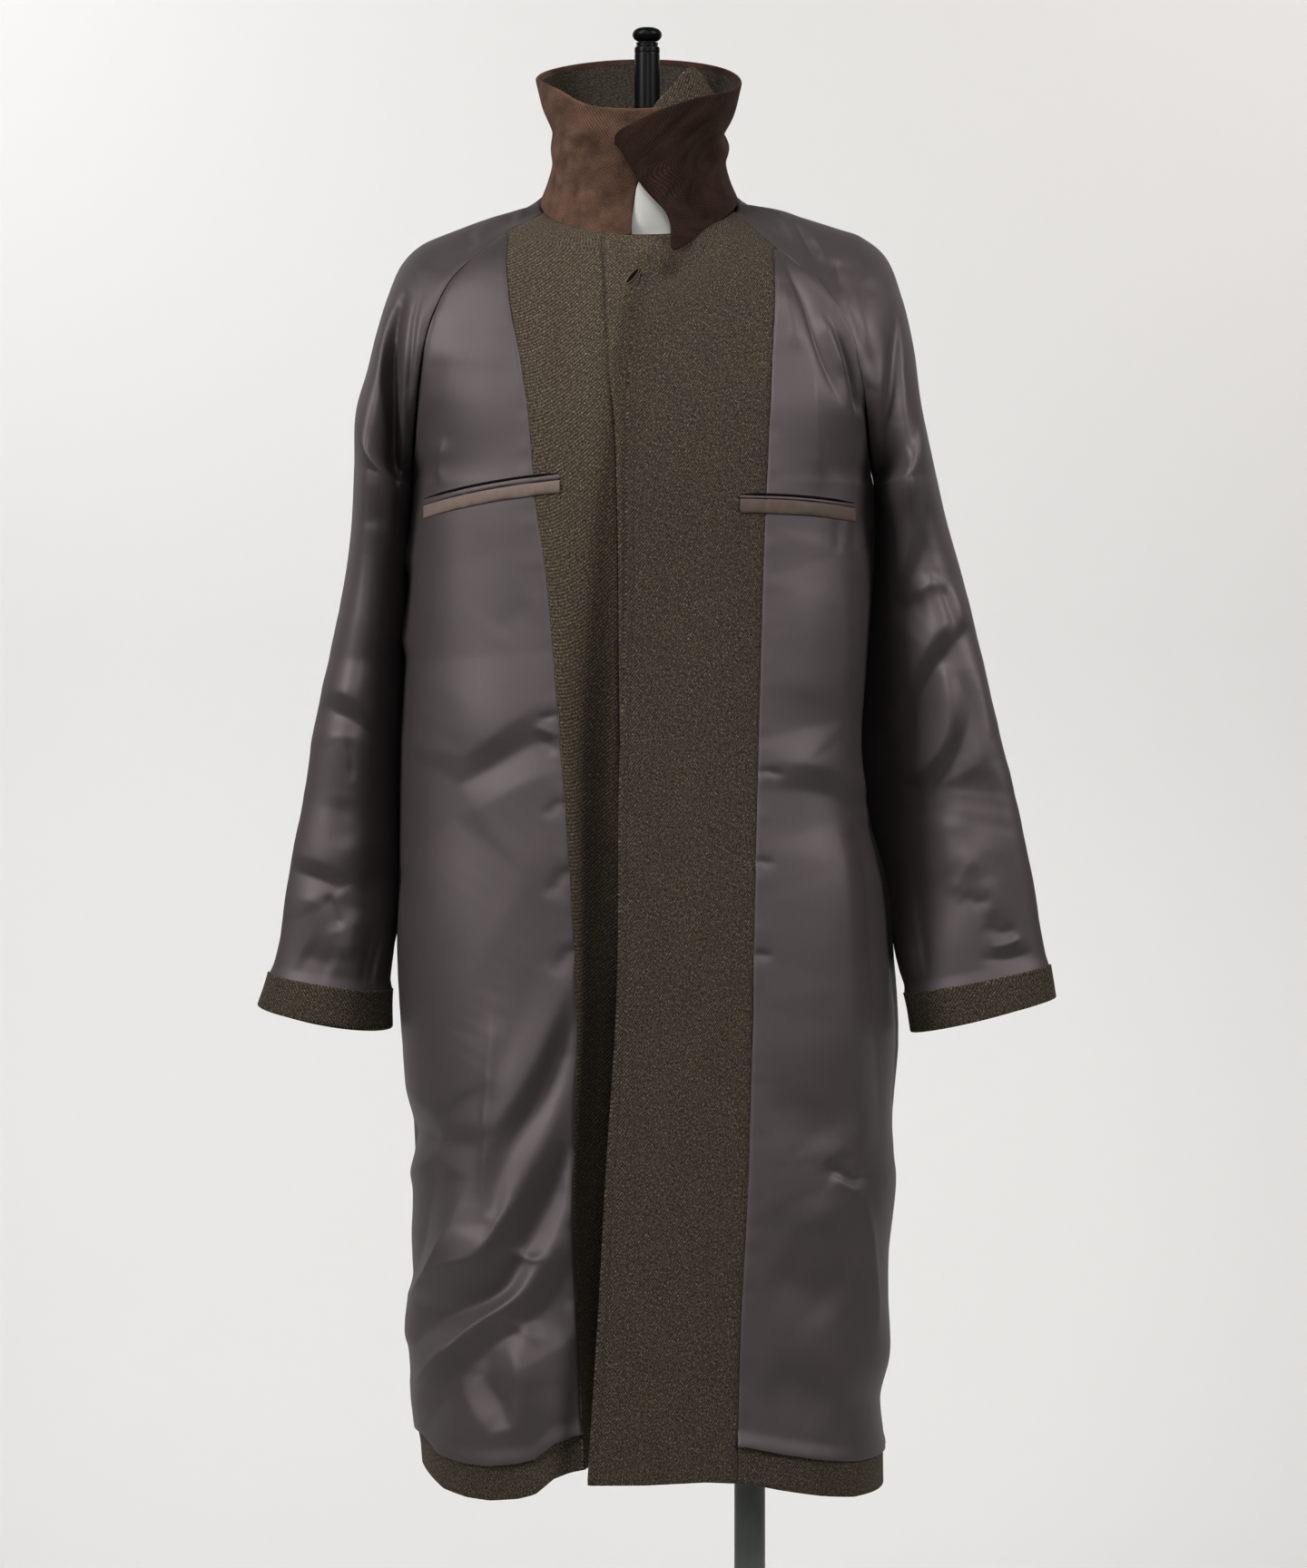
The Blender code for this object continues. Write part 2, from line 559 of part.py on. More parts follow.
def sleeve_grid(side, face, rows, columns):
    """Points of half a sleeve, row by row from its inner seam to the overarm."""
    row = np.repeat(np.asarray(rows, float)[:, None], columns + 1, axis=1)
    share = np.broadcast_to(np.linspace(0.0, 1.0, columns + 1), row.shape)
    points = bezier(*sleeve_section(side, face, row), share)
    last = UNDERARM_ROW + len(TUBE_LEFT)
    low_share = smooth((row - last + CUFF_SAG_ROWS) / CUFF_SAG_ROWS)
    points[..., 2] -= CUFF_SAG[side, face] * low_share * np.sin(math.pi * share)
    return folded(points)


def lining_grid(side, rows, columns):
    """Points of a front lining, from the facing seam to the raglan or side seam."""
    row = np.repeat(np.asarray(rows, float)[:, None], columns + 1, axis=1)
    curve = body_row("front", side, row)
    start = share_at_x(curve, facing_seam(side, row), side)
    share = start + (1.0 - start) * np.linspace(0.0, 1.0, columns + 1)
    points = bezier(*curve, share)
    if side < 0:
        points = tuck_under(points, row)
    return folded(wave(points, HEM_WAVE_LEFT if side < 0 else HEM_WAVE_RIGHT))


def back_grid(rows, columns):
    """Points of the back, from its left seam to its right one."""
    halves = []
    for side in (-1, 1):
        row = np.repeat(np.asarray(rows, float)[:, None], columns // 2 + 1, axis=1)
        share = np.broadcast_to(np.linspace(0.0, 1.0, columns // 2 + 1), row.shape)
        halves.append(bezier(*body_row("back", side, row), share))
    points = np.concatenate([halves[0][:, ::-1], halves[1][:, 1:]], axis=1)
    return folded(wave(points, HEM_WAVE_BACK))


def strip_grid(rows, start, end, columns, right):
    """Points of a front strip between two lines that run down the coat."""
    row = np.repeat(np.asarray(rows, float)[:, None], columns + 1, axis=1)
    across = np.linspace(0.0, 1.0, columns + 1)
    x = start(row) * (1.0 - across) + end(row) * across
    if right:
        return folded(wave(front_at_x(drooped(row, x), x), HEM_WAVE_RIGHT))
    return folded(wave(tuck_under(front_at_x(row, x), row), HEM_WAVE_LEFT))


def collar_point(degrees, share, inset):
    """Points of the collar, by the angle walked from the left end and the share of its height."""
    degrees = np.asarray(degrees, float)
    share = np.asarray(share, float)
    shares = [ring.share for ring in COLLAR]
    half, front, back, level, tip = (
        spline(shares, [ring[column] for ring in COLLAR], share) for column in range(1, 6)
    )
    angle = np.radians(-degrees)
    tuck = COLLAR_TUCK * smooth((32.0 - degrees) / 26.0)
    lift = COLLAR_LIFT * smooth((degrees - 316.0) / 26.0)
    away = inset - tuck + lift
    reach = np.where(np.cos(angle) > 0, front, back)
    x = NECK_X + (half + away) * np.sin(angle)
    y = -(reach + away) * np.cos(angle)
    z = level - tip * np.cos(angle)
    late = np.clip((degrees - 315.0) / 60.0, 0.0, 1.0)
    base_x = NECK_X + NECK_HALF_WIDTH * np.sin(angle)
    base = front_at_x(droop_rows(base_x), np.clip(base_x, -0.06, 0.06))
    flat = neck_point(np.degrees(angle))
    drop = (base - flat) * ((1.0 - share) * smooth((degrees - 300.0) / 15.0))[..., None]
    return np.stack([x, y + drop[..., 1], z + drop[..., 2] - COLLAR_TOP_DROOP * share * late ** 2], axis=-1)


def collar_grid(inset):
    """Points of one collar layer, from its lower edge to its upper one."""
    share = np.repeat(np.linspace(0.0, 1.0, COLLAR_ROWS + 1)[:, None], COLLAR_COLUMNS + 1, axis=1)
    walk = np.linspace(0.0, 1.0, COLLAR_COLUMNS + 1)
    start = COLLAR_START[0] + (COLLAR_START[1] - COLLAR_START[0]) * share
    end = COLLAR_END[0] + (COLLAR_END[1] - COLLAR_END[0]) * share
    return collar_point(start + (end - start) * walk, share, inset)


def grid_normals(points, closed=False):
    """Unit normals of a grid of points."""
    down = np.gradient(points, axis=0)
    if closed:
        across = np.roll(points, -1, axis=1) - np.roll(points, 1, axis=1)
    else:
        across = np.gradient(points, axis=1)
    normal = np.cross(down, across)
    return normal / np.linalg.norm(normal, axis=-1, keepdims=True)


def drawn_in(points, gap):
    """Pull a panel's four edges in by a seam's gap."""
    points = points.copy()
    for edge, inner in ((0, 1), (-1, -2)):
        for view in (points, points.swapaxes(0, 1)):
            step = view[inner] - view[edge]
            view[edge] += step / np.linalg.norm(step, axis=-1, keepdims=True) * gap
    return points


def new_object(name, mesh, material, collection):
    """Put a mesh in the scene with its material."""
    mesh.materials.append(material)
    part = bpy.data.objects.new(name, mesh)
    collection.objects.link(part)
    return part


def wall(name, outer, inner, material, collection, closed=False):
    """A closed wall between two grids of points."""
    rows, columns = outer.shape[:2]
    shell = bmesh.new()
    skins = [[[shell.verts.new(point) for point in line] for line in skin] for skin in (outer, inner)]
    spans = columns if closed else columns - 1
    for skin in skins:
        for r in range(rows - 1):
            for c in range(spans):
                n = (c + 1) % columns
                shell.faces.new((skin[r][c], skin[r][n], skin[r + 1][n], skin[r + 1][c]))
    top, under = skins
    for r in (0, rows - 1):
        for c in range(spans):
            n = (c + 1) % columns
            shell.faces.new((top[r][c], top[r][n], under[r][n], under[r][c]))
    if not closed:
        for c in (0, columns - 1):
            for r in range(rows - 1):
                shell.faces.new((top[r][c], top[r + 1][c], under[r + 1][c], under[r][c]))
    bmesh.ops.recalc_face_normals(shell, faces=shell.faces[:])
    mesh = bpy.data.meshes.new(name)
    shell.to_mesh(mesh)
    shell.free()
    return new_object(name, mesh, material, collection)


def loft(name, rings, material, collection):
    """A closed solid through level rings of points."""
    solid = bmesh.new()
    loops = [[solid.verts.new(point) for point in ring] for ring in rings]
    count = len(loops[0])
    for low, high in zip(loops, loops[1:]):
        for c in range(count):
            n = (c + 1) % count
            solid.faces.new((low[c], low[n], high[n], high[c]))
    solid.faces.new(loops[0])
    solid.faces.new(loops[-1])
    bmesh.ops.recalc_face_normals(solid, faces=solid.faces[:])
    mesh = bpy.data.meshes.new(name)
    solid.to_mesh(mesh)
    solid.free()
    return new_object(name, mesh, material, collection)


def turned(name, profile, place, material, collection):
    """A turned solid from a profile of radius and height, run from top to bottom."""
    outline = bmesh.new()
    points = [outline.verts.new((radius, 0.0, height)) for radius, height in profile]
    for first, second in zip(points, points[1:]):
        outline.edges.new((first, second))
    mesh = bpy.data.meshes.new(name)
    outline.to_mesh(mesh)
    outline.free()
    part = new_object(name, mesh, material, collection)
    part.location = place
    screw = part.modifiers.new("turn", "SCREW")
    screw.axis = "Z"
    screw.angle = 2.0 * math.pi
    screw.steps = FORM_SEGMENTS
    screw.render_steps = FORM_SEGMENTS
    screw.use_merge_vertices = True
    screw.merge_threshold = 0.00005
    return part


def weld_normals(panels):
    """Give panels that meet on a seam one shared normal there, so their walls stay parallel."""
    entries = []
    for name, panel in panels.items():
        rows, columns = panel["points"].shape[:2]
        for r in range(rows):
            for c in range(columns):
                if r in (0, rows - 1) or c in (0, columns - 1):
                    entries.append((name, r, c))
    tree = KDTree(len(entries))
    for index, (name, r, c) in enumerate(entries):
        tree.insert(panels[name]["points"][r, c], index)
    tree.balance()
    shared = []
    for name, r, c in entries:
        total = np.zeros(3)
        for _, index, _ in tree.find_range(panels[name]["points"][r, c], 0.0012):
            other, other_r, other_c = entries[index]
            total += panels[other]["normals"][other_r, other_c]
        shared.append(total / np.linalg.norm(total))
    for (name, r, c), normal in zip(entries, shared):
        panels[name]["normals"][r, c] = normal


def nearest_y(tree, x, z):
    """How near the viewer the front comes around a point."""
    depths = []
    for step_x in (-TRIM_REACH, 0.0, TRIM_REACH):
        for step_z in (-TRIM_REACH, 0.0, TRIM_REACH):
            start = Vector((x + step_x, -1.0, z + step_z))
            depths.append(tree.ray_cast(start, Vector((0.0, 1.0, 0.0)))[0].y)
    return min(depths)


def pocket_strip(name, pocket, low, high, tree, material, collection):
    """A trim strip laid on the front, just clear of it."""
    along = np.linspace(0.0, 1.0, POCKET_COLUMNS + 1)
    x = pocket.x0 + (pocket.x1 - pocket.x0) * along
    z = pocket.z0 + (pocket.z1 - pocket.z0) * along + pocket.sag * np.sin(math.pi * along)
    skins = []
    for gap in (TRIM_GAP + TRIM_WALL, TRIM_GAP):
        lines = []
        for rise in (low, (low + high) / 2, high):
            line = []
            for px, pz in zip(x, z + rise):
                line.append((px, nearest_y(tree, px, pz) - gap, pz))
            lines.append(line)
        skins.append(np.array(lines))
    return wall(name, skins[0], skins[1], material, collection)


def build_materials():
    """One Principled material for each slot."""
    made = {}
    for slot, (colour, roughness, metallic) in MATERIALS.items():
        material = bpy.data.materials.new(slot)
        material.use_nodes = True
        shader = material.node_tree.nodes["Principled BSDF"]
        shader.inputs["Base Color"].default_value = (*colour, 1.0)
        shader.inputs["Roughness"].default_value = roughness
        shader.inputs["Metallic"].default_value = metallic
        made[slot] = material
    return made


def cloth_panels():
    """All flat-cut panels that are sewn edge to edge."""
    lining_row = float(row_of_height(LINING_EDGE_HEIGHT))
    hem_row = float(row_of_height(HEM_HEIGHT))
    lower = np.linspace(UNDERARM_ROW, lining_row, LOWER_ROWS + 1)[1:]
    front_rows = np.concatenate([YOKE_ROWS, lower, [hem_row]])
    lining_rows = np.concatenate([YOKE_ROWS[LINING_TOP_ROW:], lower])
    back_rows = np.concatenate([YOKE_ROWS, lower])
    hem_rows = np.array([lining_row, hem_row])
    cuff_row = UNDERARM_ROW + len(TUBE_LEFT)
    sleeve_rows = np.concatenate([YOKE_ROWS, np.linspace(UNDERARM_ROW, cuff_row - 1, SLEEVE_ROWS + 1)[1:]])

    panels = {}

    def add(name, points, thickness, slot, ahead):
        normals = grid_normals(points)
        normals *= np.sign(normals[..., 1].mean()) * ahead
        panels[name] = {"points": points, "normals": normals, "wall": thickness, "slot": slot}

    def edge(table):
        return lambda row: line_at_row(table, row)

    add("facing_left", strip_grid(
        front_rows, lambda row: facing_seam(-1, row), edge(FLY_SEAM), FACING_COLUMNS, False),
        FACING_WALL, "wool_twill", -1.0)
    add("fly_left", strip_grid(
        front_rows, edge(FLY_SEAM), edge(LEFT_FRONT_EDGE), FLY_COLUMNS, False),
        FACING_WALL, "wool_twill", -1.0)
    add("facing_right", strip_grid(
        front_rows, edge(RIGHT_FRONT_EDGE), lambda row: facing_seam(1, row), WIDE_FACING_COLUMNS, True),
        FACING_WALL, "wool_twill", -1.0)
    add("lining_front_left", lining_grid(-1, lining_rows, LINING_COLUMNS), SHELL_WALL, "lining_satin", -1.0)
    add("lining_front_right", lining_grid(1, lining_rows, LINING_COLUMNS), SHELL_WALL, "lining_satin", -1.0)
    add("lining_back", back_grid(back_rows, BACK_COLUMNS), SHELL_WALL, "lining_satin", 1.0)
    add("hem_front_left", lining_grid(-1, hem_rows, LINING_COLUMNS), SHELL_WALL, "wool_twill", -1.0)
    add("hem_front_right", lining_grid(1, hem_rows, LINING_COLUMNS), SHELL_WALL, "wool_twill", -1.0)
    add("hem_back", back_grid(hem_rows, BACK_COLUMNS), SHELL_WALL, "wool_twill", 1.0)
    for side, word in ((-1, "left"), (1, "right")):
        for face, ahead in (("front", -1.0), ("back", 1.0)):
            points = sleeve_grid(side, face, sleeve_rows, SLEEVE_COLUMNS)
            add(f"sleeve_{face}_{word}", points, SHELL_WALL, "lining_satin", ahead)
    return panels


def build_coat(materials, collection):
    """The coat's sewn panels, cuffs, collar, tab and pocket trims."""
    panels = cloth_panels()
    weld_normals(panels)
    for name, panel in panels.items():
        points = drawn_in(panel["points"], SEAM_GAP / 2)
        inset = BAND_INSET if name.startswith("hem") else 0.0
        outer = points - panel["normals"] * inset
        inner = outer - panel["normals"] * panel["wall"]
        wall(name, outer, inner, materials[panel["slot"]], collection)

    cuff_row = UNDERARM_ROW + len(TUBE_LEFT)
    cuff_rows = np.linspace(cuff_row - 1.0, cuff_row, 3)
    for side, word in ((-1, "left"), (1, "right")):
        front = sleeve_grid(side, "front", cuff_rows, SLEEVE_COLUMNS)
        back = sleeve_grid(side, "back", cuff_rows, SLEEVE_COLUMNS)
        ring = np.concatenate([front, back[:, -2:0:-1]], axis=1)
        step = ring[1] - ring[0]
        ring[0] += step / np.linalg.norm(step, axis=-1, keepdims=True) * SEAM_GAP
        normals = grid_normals(ring, closed=True) * (-side)
        outer = ring - normals * BAND_INSET
        wall(f"cuff_{word}", outer, outer - normals * SHELL_WALL, materials["wool_twill"], collection, True)

    layers = (("collar_outer", 0.0, "corduroy"), ("collar_inner", -COLLAR_WALL - SEAM_GAP, "wool_twill"))
    for name, inset, slot in layers:
        outer = collar_grid(inset)
        inner = collar_grid(inset - COLLAR_WALL)
        wall(name, outer, inner, materials[slot], collection)

    angles = np.array([angle for angle, _ in TAB_EDGE], float)
    tops = np.array([top for _, top in TAB_EDGE])
    shares = np.linspace(0.0, 1.0, 4)[:, None]
    skins = []
    for inset in (TAB_INSET, TAB_INSET + COLLAR_WALL):
        z = TAB_FOOT + (tops - TAB_FOOT) * shares
        ahead = np.cos(np.radians(angles))
        low = COLLAR[0].level - COLLAR[0].tip * ahead
        high = COLLAR[-1].level - COLLAR[-1].tip * ahead
        level = (z - low) / (high - low)
        steps = [ring.share for ring in COLLAR]
        half = spline(steps, [ring.half_width for ring in COLLAR], level)
        reach = spline(steps, [ring.front for ring in COLLAR], level)
        x = NECK_X + (half - inset) * np.sin(np.radians(angles))
        y = -(reach - inset) * ahead
        skins.append(np.stack([x, y, z], axis=-1))
    wall("throat_tab", skins[0], skins[1], materials["wool_twill"], collection)

    for word, pocket in (("left", POCKET_LEFT), ("right", POCKET_RIGHT)):
        ground = bmesh.new()
        for name in (f"facing_{word}", f"lining_front_{word}"):
            ground.from_mesh(bpy.data.meshes[name])
        tree = BVHTree.FromBMesh(ground)
        pocket_strip(f"pocket_welt_{word}", pocket, 0.0, pocket.height, tree, materials["welt_satin"], collection)
        pocket_strip(
            f"pocket_lip_{word}", pocket, pocket.height + SEAM_GAP, pocket.height + pocket.lip,
            tree, materials["lining_satin"], collection)
        ground.free()


def build_form(materials, collection):
    """The dress form, its neck post and its stand."""
    angles = np.linspace(0.0, 2.0 * math.pi, FORM_SEGMENTS, endpoint=False)
    rings = []
    for height, half_width, front, back in FORM:
        reach = np.where(np.cos(angles) > 0, front, back)
        ring = np.stack([
            FORM_X + half_width * np.sin(angles), -reach * np.cos(angles), np.full_like(angles, height)
        ], axis=-1)
        rings.append(ring)
    loft("form_torso", rings, materials["form_cover"], collection)
    top = FORM[-1][0] + SEAM_GAP
    post = [
        (0.0, KNOB_TOP), (0.0085, KNOB_TOP - 0.0006), (0.0118, KNOB_TOP - 0.0030),
        (KNOB_RADIUS, KNOB_TOP - 0.0065), (0.0118, KNOB_TOP - 0.0105), (0.0098, POST_TOP),
        (0.0098, POST_TOP - 0.0025), (POST_RADIUS, POST_TOP - 0.0045), (POST_RADIUS, top), (0.0, top),
    ]
    turned("neck_post", post, (0.0, 0.0, 0.0), materials["form_black"], collection)
    pole_top = FORM[0][0] - SEAM_GAP
    foot = BASE_THICKNESS + SEAM_GAP
    pole = [(0.0, pole_top), (POLE_RADIUS, pole_top), (POLE_RADIUS, foot), (0.0, foot)]
    turned("stand_pole", pole, (POLE_X, 0.0, 0.0), materials["stand_metal"], collection)
    base = [
        (0.0, BASE_THICKNESS), (BASE_RADIUS - 0.005, BASE_THICKNESS), (BASE_RADIUS, BASE_THICKNESS - 0.004),
        (BASE_RADIUS, 0.002), (BASE_RADIUS - 0.002, 0.0), (0.0, 0.0),
    ]
    turned("stand_base", base, (0.0, 0.0, 0.0), materials["stand_metal"], collection)


def main():
    for part in list(bpy.data.objects):
        bpy.data.objects.remove(part, do_unlink=True)
    collection = bpy.data.collections.new("balmacaan_coat")
    bpy.context.scene.collection.children.link(collection)
    materials = build_materials()
    build_coat(materials, collection)
    build_form(materials, collection)


main()
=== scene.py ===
"""Looks of the balmacaan coat, which hangs inside out on a limbless dress form.

Metres, +X to the viewer's right, -Y towards the viewer, +Z up, floor at z = 0.
Left and right are the viewer's, and a side is -1 for left and 1 for right. The first half repeats
the solids' tables and surfaces, so that each cloth piece lies on its solid's form. The second half
adds the creases, seams, stitches, materials, light and camera.
"""

import math
from collections import namedtuple

import bpy
import numpy as np
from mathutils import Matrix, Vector
from mathutils.bvhtree import BVHTree
from mathutils.geometry import delaunay_2d_cdt


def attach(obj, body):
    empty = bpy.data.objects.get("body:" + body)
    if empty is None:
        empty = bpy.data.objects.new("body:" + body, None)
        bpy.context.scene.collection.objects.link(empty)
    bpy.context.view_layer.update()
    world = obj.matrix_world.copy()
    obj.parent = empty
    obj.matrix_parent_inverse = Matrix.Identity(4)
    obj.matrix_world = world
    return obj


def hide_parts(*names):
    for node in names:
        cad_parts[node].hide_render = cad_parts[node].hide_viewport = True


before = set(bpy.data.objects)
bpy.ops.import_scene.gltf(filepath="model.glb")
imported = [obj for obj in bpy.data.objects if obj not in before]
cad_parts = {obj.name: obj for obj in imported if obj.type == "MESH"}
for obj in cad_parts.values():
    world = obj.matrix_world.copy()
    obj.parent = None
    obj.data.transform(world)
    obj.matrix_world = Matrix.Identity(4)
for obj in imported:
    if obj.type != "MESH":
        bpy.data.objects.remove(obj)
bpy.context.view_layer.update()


def columns(names, rows):
    """A table's columns by name."""
    return dict(zip(names.split(), np.array(rows, float).T))


SIDES = ((-1, "left"), (1, "right"))
AHEAD = {"front": -1.0, "back": 1.0}

# Cloth thicknesses and clearances
SHELL_WALL = 0.0025
FACING_WALL = 0.0030
COLLAR_WALL = 0.0016
TRIM_WALL = 0.0009
TRIM_GAP = 0.0006
UNDERLAP = 0.0055
UNDERLAP_START = 0.036
UNDERLAP_REACH = 0.028
BAND_INSET = 0.0008

# Heights of the coat's main lines
UNDERARM_HEIGHT = 1.2595
LINING_EDGE_HEIGHT = 0.430
HEM_HEIGHT = 0.400
ROW_PITCH = 0.030
UNDERARM_ROW = 9
LINING_TOP_ROW = 1
BODY_SIDE_Y = 0.004

# Neckline, an ellipse that tips down towards the front, and where the seams meet it in degrees
NECK_X = -0.0072
NECK_HALF_WIDTH = 0.0865
NECK_FRONT = 0.083
NECK_BACK = 0.075
NECK_HEIGHT = 1.512
NECK_TIP = 0.036
NECK_SEAM = {"front": 75.0, "back": 108.0, "over": 90.0}

# The right front's neckline droops near its edge: rows down, where that ends, and its reach
RIGHT_DROOP_ROWS = 0.95
DROOP_END = 0.060
DROOP_REACH = 0.055
DROOP_FADE_ROWS = 4.0

# Dress form and stand
POST_RADIUS = 0.0112
POST_TOP = 1.652
KNOB_RADIUS = 0.0130
KNOB_TOP = 1.667
KNOB_FLAT = 0.0028
KNOB_MIDDLE = 0.0066
KNOB_HALF = 0.0064
POLE_RADIUS = 0.0136
POLE_X = 0.0904
BASE_RADIUS = 0.200
BASE_THICKNESS = 0.012
FORM_X = -0.004
AXIS = 0.0002
CONTACT = 0.0003

# Upper rows, from the neckline down to the underarm. Turn is the cloth's heading at the raglan
# seam in degrees, leave is the sleeve's heading as it starts from that seam.
YOKE = columns("front_z front_y back_z back_y turn rise pull reach leave lead over", [
    (1.476, -0.083, 1.548, 0.075, 75, 0.42, 0.47, 0.038, 75, 0.01, 0.01),
    (1.463, -0.092, 1.52, 0.089, 52, 0.22, 0.5, 0.034, 46, 0.028, 0.028),
    (1.446, -0.1015, 1.487, 0.103, 40, 0.14, 0.5, 0.033, 33, 0.034, 0.042),
    (1.426, -0.1115, 1.454, 0.115, 33, 0.1, 0.5, 0.033, 22, 0.036, 0.054),
    (1.402, -0.1215, 1.42, 0.124, 30, 0.08, 0.5, 0.034, 11, 0.036, 0.062),
    (1.379, -0.1295, 1.389, 0.13, 32, 0.06, 0.5, 0.036, 0, 0.036, 0.068),
    (1.354, -0.1365, 1.358, 0.134, 41, 0.05, 0.52, 0.041, -14, 0.038, 0.074),
    (1.322, -0.1435, 1.324, 0.136, 56, 0.03, 0.57, 0.054, -32, 0.046, 0.086),
    (1.288, -0.1485, 1.29, 0.137, 76, 0.0, 0.61, 0.076, -57, 0.078, 0.11),
    (1.2595, -0.151, 1.2595, 0.136, 90, 0.0, 0.73, 0.122, -90, 0.14, 0.14),
])

# Raglan seams and the overarm line: x, y, z for each yoke row after the neckline
SEAM_ROWS = {
    ("front", -1): [
        (-0.1231, -0.058, 1.4809), (-0.1514, -0.083, 1.4562), (-0.1705, -0.097, 1.4352),
        (-0.1826, -0.106, 1.4101), (-0.1896, -0.109, 1.388), (-0.1943, -0.107, 1.3631),
        (-0.1989, -0.092, 1.3276), (-0.2038, -0.055, 1.2876), (-0.2066, 0.004, 1.2595),
    ],
    ("front", 1): [
        (0.112, -0.067, 1.4675), (0.132, -0.085, 1.449), (0.1488, -0.098, 1.4304),
        (0.1657, -0.107, 1.4077), (0.178, -0.111, 1.3823), (0.1852, -0.108, 1.349),
        (0.1897, -0.094, 1.3157), (0.1943, -0.058, 1.2834), (0.2, 0.004, 1.2595),
    ],
    ("back", -1): [
        (-0.107, 0.054, 1.497), (-0.129, 0.079, 1.468), (-0.149, 0.096, 1.438), (-0.165, 0.107, 1.408),
        (-0.178, 0.111, 1.378), (-0.188, 0.108, 1.348), (-0.197, 0.094, 1.318), (-0.205, 0.062, 1.286),
        (-0.2066, 0.004, 1.2595),
    ],
    ("back", 1): [
        (0.098, 0.054, 1.497), (0.122, 0.079, 1.468), (0.142, 0.096, 1.438), (0.158, 0.107, 1.408),
        (0.171, 0.111, 1.378), (0.181, 0.108, 1.348), (0.19, 0.094, 1.318), (0.1975, 0.062, 1.286),
        (0.2, 0.004, 1.2595),
    ],
    ("over", -1): [
        (-0.1376, 0.004, 1.4992), (-0.1704, 0.006, 1.4872), (-0.1984, 0.008, 1.4752),
        (-0.216, 0.009, 1.4576), (-0.228, 0.01, 1.4288), (-0.2376, 0.01, 1.3968),
        (-0.2456, 0.01, 1.3632), (-0.2552, 0.01, 1.3272), (-0.2576, 0.01, 1.2792),
    ],
    ("over", 1): [
        (0.1128, 0.004, 1.5072), (0.138, 0.004, 1.499), (0.164, 0.004, 1.4905), (0.189, 0.003, 1.4815),
        (0.211, 0.002, 1.462), (0.2245, 0.0, 1.426), (0.234, -0.002, 1.382), (0.24, -0.003, 1.332),
        (0.254, -0.004, 1.27),
    ],
}

# Body below the underarm: half rings at each height
BODY = columns("z left right front_y back_y", [
    (1.18, -0.2104, 0.1985, -0.1515, 0.131), (1.1, -0.2136, 0.1925, -0.152, 0.128),
    (1.035, -0.2168, 0.1885, -0.153, 0.129), (0.97, -0.2184, 0.197, -0.154, 0.133),
    (0.915, -0.2195, 0.2125, -0.155, 0.138), (0.85, -0.22, 0.2185, -0.156, 0.143),
    (0.78, -0.216, 0.2225, -0.158, 0.15), (0.7, -0.2064, 0.2168, -0.16, 0.158),
    (0.65, -0.2048, 0.2184, -0.161, 0.163), (0.6, -0.2072, 0.2136, -0.162, 0.167),
    (0.555, -0.2016, 0.212, -0.163, 0.171), (0.507, -0.2112, 0.2136, -0.164, 0.175),
    (0.475, -0.2032, 0.2056, -0.1645, 0.178), (0.443, -0.2016, 0.208, -0.1655, 0.181),
    (0.4, -0.1976, 0.2088, -0.1665, 0.184),
])

